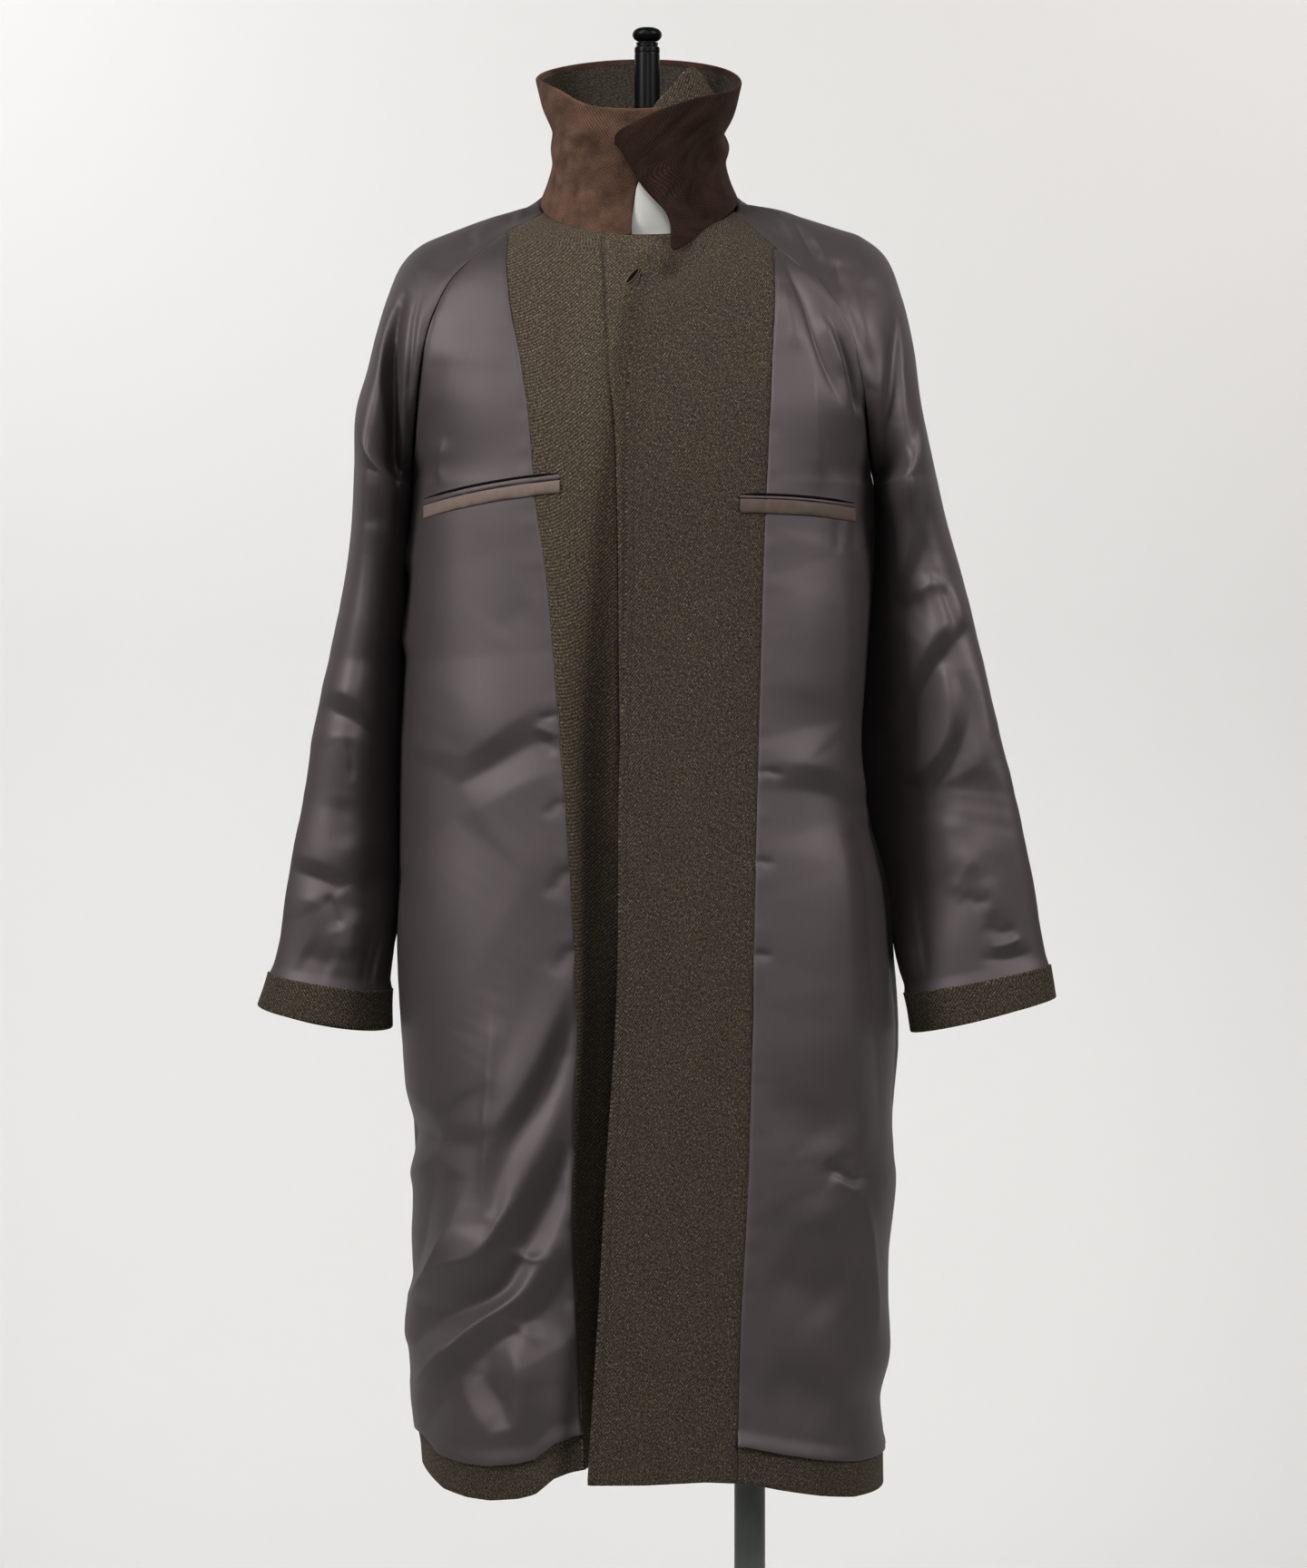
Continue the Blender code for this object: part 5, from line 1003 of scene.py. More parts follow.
def photo_plane(points):
    """Where points of the coat fall in the photo's picture."""
    scale = POINT * (points[..., 1] - EYE[1]) / -EYE[1]
    across = PICTURE[0] / 2 + (points[..., 0] - EYE[0]) / scale
    down = PICTURE[1] / 2 - (points[..., 2] - EYE[2]) / scale
    return across, down


def crease_push(across, down, creases):
    """How far a list of creases pushes the cloth out, at places of a flat picture."""
    push = np.zeros_like(across)
    for left, right, height, crest, path in creases:
        done = walked(path)
        path = spline(done, path, np.linspace(0.0, done[-1], 4 * len(path)))
        reach = CREASE_REACH * max(left, right) + crest
        low = path.min(axis=0) - reach
        high = path.max(axis=0) + reach
        near = (across > low[0]) & (across < high[0]) & (down > low[1]) & (down < high[1])
        if not near.any():
            continue
        u = across[near]
        v = down[near]
        best = np.full(u.shape, 1e9)
        hand = np.zeros(u.shape)
        along = np.zeros(u.shape)
        done = walked(path)
        for first, last, start, end in zip(path[:-1], path[1:], done[:-1], done[1:]):
            t, away = from_segment(u, v, first, last)
            closer = away < best
            best = np.where(closer, away, best)
            turn = (last[0] - first[0]) * (v - first[1]) - (last[1] - first[1]) * (u - first[0])
            hand = np.where(closer, turn, hand)
            along = np.where(closer, (start + t * (end - start)) / done[-1], along)
        width = np.where(hand > 0, left, right)
        fade = smooth(np.minimum(along, 1.0 - along) / CREASE_FADE[0] + CREASE_FADE[1])
        fall = np.sqrt(best ** 2 + crest ** 2) - crest
        push[near] += MILLIMETRE * height * fade * np.exp(-fall / width)
    return push


def blurred(field, size):
    """A field smoothed by a bell of the given size in points."""
    reach = int(3 * size) + 1
    weights = np.exp(-0.5 * (np.arange(-reach, reach + 1) / size) ** 2)
    weights /= weights.sum()
    for axis in (0, 1):
        pad = [(reach, reach) if axis == other else (0, 0) for other in (0, 1)]
        wide = np.pad(field, pad, mode="edge")
        length = field.shape[axis]
        field = sum(w * np.take(wide, range(k, k + length), axis=axis) for k, w in enumerate(weights))
    return field


def fold_field(lines):
    """The draped front's relief over the picture, in millimetres: facets between high and low lines."""
    spots = []
    edges = []
    for line in lines:
        line = np.array(line, float)
        done = walked(line[:, :2])
        start = len(spots)
        spots.extend(spline(done, line, np.linspace(0.0, done[-1], 3 * len(line))))
        edges += [(i, i + 1) for i in range(start, len(spots) - 1)]
    spots = np.array(spots)
    heights = spots[:, 2]
    places = [Vector(spot) for spot in spots[:, :2]]
    corners, _, triangles, origins, _, _ = delaunay_2d_cdt(places, edges, [], 0, 1e-3)
    corners = np.array(corners)
    flat = np.array(places)
    levels = []
    for corner, origin in zip(corners, origins):
        away = np.hypot(*(flat - corner).T)
        near = np.argsort(away)[:2]
        share = 1.0 / (away[near] + 1e-6)
        beside = (heights[near] * share).sum() / share.sum()
        levels.append(heights[origin].mean() if origin else beside)
    levels = np.array(levels)
    field = np.zeros(PICTURE[::-1])
    for triangle in triangles:
        (x0, y0), (x1, y1), (x2, y2) = corners[triangle]
        area = (x1 - x0) * (y2 - y0) - (x2 - x0) * (y1 - y0)
        if abs(area) < 1e-9:
            continue
        low = np.floor(corners[triangle].min(axis=0)).astype(int)
        high = np.ceil(corners[triangle].max(axis=0)).astype(int) + 1
        v, u = np.mgrid[low[1]:high[1], low[0]:high[0]]
        second = ((u - x0) * (y2 - y0) - (x2 - x0) * (v - y0)) / area
        third = ((x1 - x0) * (v - y0) - (u - x0) * (y1 - y0)) / area
        inside = (second >= -1e-6) & (third >= -1e-6) & (second + third <= 1.000001)
        level = levels[triangle]
        part = field[low[1]:high[1], low[0]:high[0]]
        part[inside] = (level[0] + second * (level[1] - level[0]) + third * (level[2] - level[0]))[inside]
    return sum(share * blurred(field, size) for share, size in FOLD_SOFTNESS)


def between(field, i0, i1, j0, j1, a, b):
    """A field between its points, with the shares of the way to the next ones."""
    top = field[i0, j0] * (1 - a) + field[i1, j0] * a
    low = field[i0, j1] * (1 - a) + field[i1, j1] * a
    return top * (1 - b) + low * b


def field_at(field, across, down):
    """A field of the picture between its points."""
    u = np.clip(across, 0.0, PICTURE[0] - 1.001)
    v = np.clip(down, 0.0, PICTURE[1] - 1.001)
    i = u.astype(int)
    j = v.astype(int)
    return between(field.T, i, i + 1, j, j + 1, u - i, v - j)


def value_noise(u, v, seed, size=97):
    """Soft seeded noise over a plane, from -1 to 1, with cells of size 1."""
    lattice = np.random.default_rng(seed).uniform(-1.0, 1.0, (size, size))
    i = np.floor(u).astype(int)
    j = np.floor(v).astype(int)
    cells = (i % size, (i + 1) % size, j % size, (j + 1) % size)
    return between(lattice, *cells, smooth(u - i), smooth(v - j))


FOLD_FIELD = fold_field([[(*place, 0) for place in line] for line in STILL_LINES] + FRONT_FOLDS)


def creased(points, satin, straight=False):
    """Add the listed creases, and the slight unevenness of hung cloth.

    Straight ones push the front along the depth instead of out of the cloth.
    """
    x, y, z = np.moveaxis(points, -1, 0)
    out = grid_normals(points)
    out *= np.where(out[..., 1] * (y - BODY_SIDE_Y) < 0, -1.0, 1.0)[..., None]
    front = smooth((BODY_SIDE_Y - y) / CREASE_DEPTH)
    back = smooth((y - BODY_SIDE_Y) / CREASE_DEPTH)
    across, down = photo_plane(points)
    push = crease_push(across, down, FRONT_CREASES)
    push += MILLIMETRE * field_at(FOLD_FIELD, across, down)
    behind = crease_push(x / MILLIMETRE, z / MILLIMETRE, BACK_CREASES)
    rough = sum(
        share * value_noise(x / width + 40, z / length + 40, seed) for share, width, length, seed in ROUGH)
    loose = rough * (SATIN_LOOSE if satin else WOOL_LOOSE)
    still = np.ones_like(x)
    for side, _ in SIDES:
        seam = SEAMS["front", side][-3:, ::2]
        for first, last in zip(seam[:-1], seam[1:]):
            _, away = from_segment(x, z, first, last)
            still *= 1.0 - np.exp(-((away / STILL_REACH) ** 2))
    lift = ((push + loose) * front + (behind + loose) * back) * still
    if straight:
        out = np.where((y < BODY_SIDE_Y)[..., None], np.array([0.0, -1.0, 0.0]), out)
    return points + out * lift[..., None]


def lapped(points, name, rows):
    """Let the left front fall back beside the right front, whose own edge stands forward."""
    row, _ = row_grid(rows, points.shape[1] - 1)
    x, _, z = np.moveaxis(points, -1, 0)

    def below(start):
        return smooth((start[0] - z) / start[1])

    edge = line_at_row(RIGHT_FRONT_EDGE, row)
    if name == "facing_right":
        away = np.maximum(x - edge, 0.0)
        hung = below(EDGE_START)
        top = TOP_EDGE_FORWARD * (1.0 - hung) * np.exp(-away / TOP_EDGE_REACH)
        return moved(points, 1, -(EDGE_FORWARD * hung * np.exp(-away / EDGE_REACH) + top))
    seam = facing_seam(-1, row)
    start = LINING_FALL * below(LINING_FALL_START)
    if name == "lining_front_left":
        return moved(points, 1, start * smooth((x - seam + LINING_FALL_REACH) / LINING_FALL_REACH))
    share = np.clip((x - seam) / np.maximum(edge + EDGE_OVERLAP - seam, NARROWEST_FACING), 0.0, 1.0)
    fall = FACING_FALL * (FACING_FALL_TOP + (1.0 - FACING_FALL_TOP) * below(FACING_FALL_START))
    return moved(points, 1, start + fall * (1.0 - (1.0 - share) ** FACING_FALL_BEND))


def run_lengths(points, axis):
    """Distance walked over a grid from its first line, along one axis."""
    step = np.linalg.norm(np.diff(points, axis=axis), axis=-1)
    start = np.zeros_like(np.take(step, [0], axis=axis))
    return np.concatenate([start, np.cumsum(step, axis=axis)], axis=axis)


def facing_normals(points, ahead):
    """Normals of a panel, turned to the outside of the coat."""
    normals = grid_normals(points)
    return normals * np.sign(normals[..., 1].mean()) * ahead


def sewn(points, ahead, seams):
    """Sink a panel's edges into their seams, with the small puckers of the stitching."""
    across = run_lengths(points, 1)
    down = run_lengths(points, 0)
    edges = {
        "left": (across, down), "right": (across[:, -1:] - across, down), "top": (down, across)}
    lift = np.zeros(points.shape[:2])
    for edge, (sink, width, pucker) in seams.items():
        away, along = edges[edge]
        lift -= sink * np.exp(-((away / width) ** 2))
        ripple = value_noise(along / PUCKER_SIZE[0] + 7, away / PUCKER_SIZE[1] + 3, 11)
        lift += pucker * ripple * np.exp(-away / PUCKER_REACH) * smooth(away / PUCKER_CALM)
    return points + facing_normals(points, ahead) * lift[..., None]


def flared(points, ahead):
    """Let a lining's lower edge stand off the turn-up below it, and grow thin there."""
    down = run_lengths(points, 0)
    left = down[-1:] - down
    share = smooth(1.0 - left / LINING_FLARE_REACH)
    height, width, length = LINING_FLARE_WAVES
    uneven = 1.0 + height * value_noise(run_lengths(points, 1) / width + 9, left / length + 2, 21)
    points = points + facing_normals(points, ahead) * (LINING_FLARE * share * uneven)[..., None]
    return points, SHELL_WALL - (SHELL_WALL - LINING_EDGE_WALL) * share


def cloth_plane(points):
    """Flat coordinates of a panel in metres, with its grain upright."""
    heading = -1.0 if (points[:, -1, 0] - points[:, 0, 0]).mean() < -0.001 else 1.0
    across = points[:, :1, 0] + heading * run_lengths(points, 1)
    down = run_lengths(points, 0) - points[:1, :, 2]
    return np.stack([across, down], axis=-1)


def build_mesh(name, vertices, faces, uv, materials, slots=None):
    """A smooth mesh object from arrays, with its cloth coordinates and materials."""
    mesh = bpy.data.meshes.new(name)
    mesh.from_pydata(np.asarray(vertices, float).tolist(), [], np.asarray(faces).tolist())
    layer = mesh.uv_layers.new(name="cloth")
    corners = np.zeros(len(mesh.loops), int)
    mesh.loops.foreach_get("vertex_index", corners)
    layer.data.foreach_set("uv", np.asarray(uv, np.float32)[corners].ravel())
    for material in materials:
        mesh.materials.append(material)
    slots = np.zeros(len(faces)) if slots is None else slots
    mesh.polygons.foreach_set("material_index", np.asarray(slots, np.int32))
    mesh.polygons.foreach_set("use_smooth", np.ones(len(mesh.polygons), bool))
    mesh.update()
    part = bpy.data.objects.new(name, mesh)
    bpy.context.scene.collection.objects.link(part)
    return part


def grid_faces(rows, count):
    """Four-cornered faces of a grid of points."""
    r, c = np.meshgrid(np.arange(rows - 1), np.arange(count - 1), indexing="ij")
    first = r * count + c
    return np.stack([first, first + 1, first + count + 1, first + count], axis=-1).reshape(-1, 4)


def ring_faces(rings):
    """Faces between closed rings of vertices that follow each other."""
    return np.concatenate([
        np.stack([first, second, np.roll(second, -1), np.roll(first, -1)], axis=-1)
        for first, second in zip(rings, rings[1:])])


def border(rows, count):
    """The outline of a grid, walked once round."""
    grid = np.arange(rows * count).reshape(rows, count)
    return np.concatenate([grid[0, :-1], grid[:-1, -1], grid[-1, :0:-1], grid[:0:-1, 0]])


def border_heading(points):
    """Unit directions that leave a grid over its outline."""
    out = np.zeros_like(points)
    for edge, inner in ((0, 1), (-1, -2)):
        for view, target in ((points, out), (points.swapaxes(0, 1), out.swapaxes(0, 1))):
            step = view[edge] - view[inner]
            target[edge] += step / np.maximum(np.linalg.norm(step, axis=-1, keepdims=True), 1e-9)
    return out / np.maximum(np.linalg.norm(out, axis=-1, keepdims=True), 1e-9)


def shell(name, points, normals, wall, materials, round_edges=(), turns=3):
    """A thin closed shell: outer skin, inner skin, and a rim that is round on its free edges."""
    rows, count = points.shape[:2]
    size = rows * count
    wall = np.broadcast_to(np.asarray(wall, float), (rows, count))[..., None]
    outer = points.reshape(-1, 3)
    inner = (points - normals * wall).reshape(-1, 3)
    uv = cloth_plane(points).reshape(-1, 2)
    free = np.zeros((rows, count))
    picks = {"top": np.s_[0, :], "bottom": np.s_[-1, :], "left": np.s_[:, 0], "right": np.s_[:, -1]}
    for edge in round_edges:
        free[picks[edge]] = 1.0
    loop = border(rows, count)
    leave = border_heading(points).reshape(-1, 3)[loop]
    middle = (outer[loop] + inner[loop]) / 2
    half = (outer[loop] - inner[loop]) / 2
    bulge = np.linalg.norm(half, axis=-1, keepdims=True) * free.reshape(-1)[loop][:, None]
    vertices = [outer, inner]
    for angle in math.pi * np.arange(1, turns + 1) / (turns + 1):
        vertices.append(middle + half * math.cos(angle) + leave * bulge * math.sin(angle))
    rings = [loop, *(2 * size + np.arange(turns * len(loop)).reshape(turns, -1)), loop + size]
    skin = grid_faces(rows, count)
    faces = np.concatenate([skin, skin[:, ::-1] + size, ring_faces(rings)])
    slots = np.zeros(len(faces))
    slots[len(skin):2 * len(skin)] = len(materials) - 1
    sample = skin[len(skin) // 2]
    corner = outer[sample]
    way = np.cross(corner[1] - corner[0], corner[3] - corner[0])
    if np.dot(way, normals.reshape(-1, 3)[sample[0]]) < 0:
        faces = faces[:, ::-1]
    uv = np.concatenate([uv, uv] + [uv[loop]] * turns)
    return build_mesh(name, np.concatenate(vertices), faces, uv, materials, slots)


def grid_size(points):
    """Width, length and area of a panel's flat cut."""
    width = float(run_lengths(points, 1)[:, -1].max())
    length = float(run_lengths(points, 0)[-1].max())
    side = points[1:, :-1] - points[:-1, :-1]
    step = points[:-1, 1:] - points[:-1, :-1]
    area = float(np.linalg.norm(np.cross(side, step), axis=-1).sum())
    return width, length, min(area, 0.999 * width * length)


def tied(part, node):
    """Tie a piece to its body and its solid."""
    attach(part, "root")
    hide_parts(node)


def keep(part, node, cut):
    """Tie a cloth piece to its body and its solid. Its cut's length and area are floored at their least
    sizes and then not used.
    """
    tied(part, node)
    width, length, area = cut
    length = max(length, SHORTEST_CUT)
    area = max(area, LEAST_AREA * width * length)


def fine_rows(first, last, steps):
    """Evenly spaced rows between two rows of the tables."""
    return np.linspace(first, last, int(math.ceil((last - first) * steps)) + 1)


def lined_panel(name, points, ahead, seams, paint, rows=None, straight=False):
    """A lined panel: satin outside, wool inside, sewn in and free at its lower edge."""
    cut = grid_size(points)
    points = creased(points, True, straight)
    if name == "lining_front_left":
        points = lapped(points, name, rows)
    points, wall = flared(sewn(points, ahead, SEAM_SINK[seams]), ahead)
    cloth = [paint["lining_satin"], paint["wool_twill"]]
    normals = facing_normals(points, ahead)
    part = shell(f"{name}_cloth", points, normals, wall, cloth, ("bottom",), RIM_TURNS)
    keep(part, name, cut)


def turn_up(name, over, points, normals_of, paint, rows=None, straight=False):
    """A wool turn-up, which comes out from under a lining's lower edge."""
    cut = grid_size(points)
    points = creased(points, False, straight)
    if over == "lining_front_left":
        points = lapped(points, over, rows)
    normals = normals_of(points)
    points = points - normals * BAND_INSET
    cloth = [paint["wool_twill"]]
    part = shell(f"{name}_cloth", points, normals, SHELL_WALL, cloth, ("bottom",), RIM_TURNS)
    keep(part, name, cut)


def body_pieces(paint):
    """Fronts, back and hem: the sewn panels below the neckline."""
    lining_row = float(row_of_height(LINING_EDGE_HEIGHT))
    hem_row = float(row_of_height(HEM_HEIGHT))
    long_rows = fine_rows(0.0, hem_row, BODY_STEPS)
    lining_rows = fine_rows(LINING_TOP_ROW, lining_row, CREASED_STEPS * BODY_STEPS)
    back_rows = fine_rows(0.0, lining_row, BODY_STEPS)
    hem_rows = np.linspace(lining_row - HEM_LAP, hem_row, 10)

    def line(table):
        return lambda row: line_at_row(table, row)

    def seam(side):
        return lambda row: facing_seam(side, row)

    strips = (
        # The left facing and the fly take the lighter copy of the wool: painted light
        ("facing_left", seam(-1), line(FLY_SEAM), "wool_painted_light", ("bottom",)),
        ("fly_left", line(FLY_SEAM), line(LEFT_FRONT_EDGE), "wool_painted_light", ("bottom", "right", "top")),
        ("facing_right", line(RIGHT_FRONT_EDGE), seam(1), "wool_twill", ("bottom", "left", "top")),
    )
    for name, start, end, tone, free in strips:
        points = strip_grid(name, long_rows, start, end)
        cut = grid_size(points)
        points = lapped(creased(points, False), name, long_rows)
        points = sewn(points, -1.0, SEAM_SINK[name])
        if name == "facing_right":
            depth, width = EDGE_GROOVE
            groove = depth * np.exp(-(((run_lengths(points, 1) - EDGE_STITCH_INSET) / width) ** 2))
            points = points - facing_normals(points, -1.0) * groove[..., None]
        normals = facing_normals(points, -1.0)
        part = shell(f"{name}_cloth", points, normals, FACING_WALL, [paint[tone]], free, RIM_TURNS)
        keep(part, name, cut)

    for side, word in SIDES:
        name = f"lining_front_{word}"
        lined_panel(name, lining_grid(side, lining_rows), -1.0, "lining_front", paint, lining_rows)
        turn_up(f"hem_front_{word}", name, lining_grid(side, hem_rows),
                lambda points: facing_normals(points, -1.0), paint, hem_rows)
    lined_panel("lining_back", back_grid(back_rows), 1.0, "lining_back", paint)
    turn_up("hem_back", "lining_back", back_grid(hem_rows),
            lambda points: facing_normals(points, 1.0), paint)


def sleeve_pieces(paint):
    """Two-piece raglan sleeves and their cuffs."""
    cuff_rows = np.linspace(CUFF_ROW - 1.0 - CUFF_LAP, CUFF_ROW, 16)

    def outside(sign):
        def normals_of(ring):
            normals = grid_normals(ring[:, :-1], closed=True)
            return np.concatenate([normals, normals[:, :1]], axis=1) * sign
        return normals_of

    for side, word in SIDES:
        for face, steps in (("front", CREASED_STEPS), ("back", 1)):
            upper = fine_rows(0.0, UNDERARM_ROW, steps * BODY_STEPS)
            lower = fine_rows(UNDERARM_ROW, CUFF_ROW - 1.0, steps * SLEEVE_STEPS)
            points = sleeve_grid(side, face, np.concatenate([upper, lower[1:]]))
            lined_panel(f"sleeve_{face}_{word}", points, AHEAD[face], "sleeve", paint, straight=True)
        front, back = (sleeve_grid(side, face, cuff_rows) for face in AHEAD)
        ring = np.concatenate([front, back[:, -2::-1]], axis=1)
        turn_up(f"cuff_{word}", f"sleeve_front_{word}", ring, outside(-side), paint, straight=True)


def from_neck(points):
    """Level directions away from the neck's middle."""
    return np.stack([points[..., 0] - NECK_X, points[..., 1], np.zeros(points.shape[:-1])], axis=-1)


def turned_out(points, outwards):
    """Normals of a piece round the neck, turned to one of its sides."""
    normals = grid_normals(points)
    return normals * np.sign((normals * outwards).sum(axis=-1).mean())


def collar_surface(across, up, inset):
    """Points of the collar with its buckles, for shares across and up it."""
    corner = np.zeros_like(across)
    for distance, (reach, tall) in zip((across, 1.0 - across), COLLAR_CORNERS):
        t = np.clip(1.0 - distance / reach, 0.0, 1.0)
        corner = np.maximum(corner, tall * (1.0 - np.sqrt(1.0 - t * t)))
    share = up * (1.0 - corner)
    start = COLLAR_START[0] + (COLLAR_START[1] - COLLAR_START[0]) * share
    end = COLLAR_END[0] + (COLLAR_END[1] - COLLAR_END[0]) * share
    start = start + COLLAR_START_SWELL * np.sin(math.pi * share ** 0.8)
    depth, level, width = COLLAR_END_NOTCH
    end = end - depth * np.exp(-(((share - level) / width) ** 2))
    degrees = start + (end - start) * across
    edge = np.array(COLLAR_EDGE)
    rise = spline(edge[:, 0], edge[:, 1:], degrees)
    rise = rise[..., 0] * share ** 2 + rise[..., 1] * (1.0 - share) ** 2
    points = moved(collar_point(degrees, share, inset), 2, rise)
    out = 0.0004 * value_noise(degrees / 14 + 4, share * 6 + 4, 31)
    for middle, level, spread, tall, depth in COLLAR_BUCKLES:
        out += depth * np.exp(-((degrees - middle) / spread) ** 2 - ((share - level) / tall) ** 2)
    out += crease_push(*photo_plane(points), COLLAR_CREASES) * smooth(-points[..., 1] / 0.03)
    return points + unit(from_neck(points)) * out[..., None]


def collar_pieces(paint):
    """Corduroy collar rolled over its edges, the wool under it, and the throat tab."""
    across, up = np.meshgrid(np.linspace(0.0, 1.0, 221), np.linspace(0.0, 1.0, 41))
    points = collar_surface(across, up, 0.0)
    cut = grid_size(points)
    rows, count = points.shape[:2]
    loop = border(rows, count)
    leave = border_heading(points).reshape(-1, 3)[loop]
    edge = points.reshape(-1, 3)[loop]
    out = turned_out(points, from_neck(points)).reshape(-1, 3)[loop]
    uv = np.stack([run_lengths(points, 1), run_lengths(points, 0)], axis=-1).reshape(-1, 2)
    half = COLLAR_THICKNESS / 2
    vertices = [points.reshape(-1, 3)]
    coordinates = [uv]
    rolled = [(math.pi * turn / 6, 0.0) for turn in range(1, 7)]
    rolled += [(math.pi, COLLAR_LIP / 2), (math.pi, COLLAR_LIP)]
    for angle, lip in rolled:
        sink = half * math.cos(angle) - half
        vertices.append(edge + out * sink + leave * (half * math.sin(angle) - lip))
        coordinates.append(uv[loop] + np.array([0.0, half * angle + lip]))
    rings = [loop, *(rows * count + np.arange(len(rolled) * len(loop)).reshape(len(rolled), -1))]
    faces = np.concatenate([grid_faces(rows, count), ring_faces(rings)])
    part = build_mesh("collar_corduroy", np.concatenate(vertices), faces, np.concatenate(coordinates),
                      [paint["corduroy"]])
    keep(part, "collar_outer", cut)

    across, up = np.meshgrid(np.linspace(0.004, 0.996, 181), np.linspace(0.01, 0.985, 33))
    points = collar_surface(across, up, -COLLAR_WALL)
    normals = turned_out(points, from_neck(points))
    # The wool under the collar takes the darker copy of the wool: painted shade
    part = shell("collar_wool", points, normals, COLLAR_WALL, [paint["wool_painted_shade"]])
    keep(part, "collar_inner", grid_size(points))

    angles, tops = np.array(TAB_EDGE).T
    degrees = np.linspace(angles[0], angles[-1], 61)
    z = TAB_FOOT + (spline(angles, tops, degrees) - TAB_FOOT) * np.linspace(1.0, 0.0, 25)[:, None]
    points = tab_surface(np.broadcast_to(degrees, z.shape), z)
    normals = turned_out(points, points - np.array([NECK_X, 0.0, 0.0]))
    # The tab takes the lighter copy of the wool: painted light
    part = shell("throat_tab_cloth", points, normals, COLLAR_WALL, [paint["wool_painted_light"]],
                 ("top", "left", "right"), RIM_TURNS)
    keep(part, "throat_tab", grid_size(points))


def tab_surface(degrees, z):
    """Points of the throat tab, which lies inside the collar."""
    ahead = np.cos(np.radians(degrees))
    low, high = (COLLAR["level"][ring] - COLLAR["tip"][ring] * ahead for ring in (0, -1))
    level = (z - low) / (high - low)
    x = NECK_X + (collar_value("half", level) - TAB_INSET) * np.sin(np.radians(degrees))
    return np.stack([x, -(collar_value("front", level) - TAB_INSET) * ahead, z], axis=-1)


def surface_tree(*names):
    """A search tree over the surfaces of some pieces."""
    vertices = []
    faces = []
    for name in names:
        mesh = bpy.data.objects[name].data
        start = len(vertices)
        vertices.extend(vertex.co.copy() for vertex in mesh.vertices)
        faces.extend([start + index for index in face.vertices] for face in mesh.polygons)
    return BVHTree.FromPolygons(vertices, faces)


def on_front(tree, x, z):
    """The point of the front that the viewer sees at x and z, or just beside it, and its normal."""
    for beside in (0.0, 0.0008, -0.0008, 0.0016, -0.0016, 0.0030, -0.0030):
        hit, normal, _, _ = tree.ray_cast(Vector((x + beside, -1.0, z)), Vector((0.0, 1.0, 0.0)))
        if hit is not None:
            break
    hit.x = x
    return np.array(hit), np.array(-normal if normal.y > 0 else normal)


def front_line(tree, xs, zs, lift=0.0):
    """A line on the front, with the cloth's normals along it."""
    points, normals = np.array([on_front(tree, x, z) for x, z in zip(xs, zs)]).swapaxes(0, 1)
    return points + normals * lift, normals


def pocket_pieces(paint):
    """Pocket welts with their gathers, the lining lips above them, and near-black strips of painted shade
    in their mouths.
    """
    along = np.linspace(0.0, 1.0, 121)
    for word, pocket in POCKETS.items():
        tree = surface_tree(f"facing_{word}_cloth", f"lining_front_{word}_cloth")
        x = pocket.x0 + (pocket.x1 - pocket.x0) * along
        z = pocket.z0 + (pocket.z1 - pocket.z0) * along + pocket.sag * np.sin(math.pi * along)
        gathers = value_noise(x / GATHER_PITCH + 50, np.full_like(x, 3.0), 41)
        top = pocket.height + pocket.lip
        pieces = (
            ("welt", 0.0, pocket.height, "welt_satin", f"welt_{word}", WELT_PROUD),
            ("lip", pocket.height + TRIM_GAP, top, "lining_satin", "lining_satin", LIP_PROUD),
        )
        for kind, low, high, slot, tone, (proud, gather) in pieces:
            name = f"pocket_{kind}_{word}"
            grid = []
            for share in np.linspace(0.0, 1.0, 9):
                crown = math.sin(math.pi * share) ** 0.5 if 0.0 < share < 1.0 else 0.0
                hits, _ = front_line(tree, x, z + high + (low - high) * share)
                swell = TRIM_GAP + proud * (0.45 + 0.55 * crown) + gather * gathers * crown
                grid.append(moved(hits, 1, -swell))
            grid = np.array(grid)
            part = shell(f"{name}_cloth", grid, facing_normals(grid, -1.0), TRIM_WALL, [paint[tone]],
                         ("top", "bottom", "left", "right"))
            keep(part, name, grid_size(grid))
        # A near-black strip along each mouth: painted shade in the gap
        line, _ = front_line(tree, x, z + top + MOUTH_RISE)
        ribbon(f"pocket_mouth_painted_shade_{word}", moved(line, 1, -MOUTH_PROUD), *MOUTH_HALF, paint["dark_painted_shade"])


def trim(name, vertices, faces, material, uv=None):
    """A small piece of sewing that rides with the coat."""
    uv = vertices[:, [0, 2]] if uv is None else uv
    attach(build_mesh(name, vertices, faces, uv, [material]), "root")


def cord_rings(line, across, up, sides):
    """Rings of points round a line, from the half widths across it and up."""
    angles = 2.0 * math.pi * np.arange(sides)[:, None] / sides
    return line[:, None] + np.cos(angles) * across[:, None] + np.sin(angles) * up[:, None]


def cord_faces(count, sides, start=0):
    """Faces between the rings of a cord, whose vertices begin at a start."""
    return ring_faces(start + np.arange(count * sides).reshape(count, sides))[:, [0, 3, 2, 1]]


def ribbon(name, line, half_height, half_depth, material, sides=8):
    """A slim oval cord along a line, tapered at both ends."""
    share = np.linspace(0.0, 1.0, len(line))
    taper = np.minimum(1.0, 6.0 * np.minimum(share, 1.0 - share) + 0.15)[:, None]
    rings = cord_rings(
        line, taper * np.array([0.0, -half_depth, 0.0]), taper * np.array([0.0, 0.0, half_height]), sides)
    uv = np.repeat(line[:, [0, 2]], sides, axis=0)
    trim(name, rings.reshape(-1, 3), cord_faces(len(line), sides), material, uv)


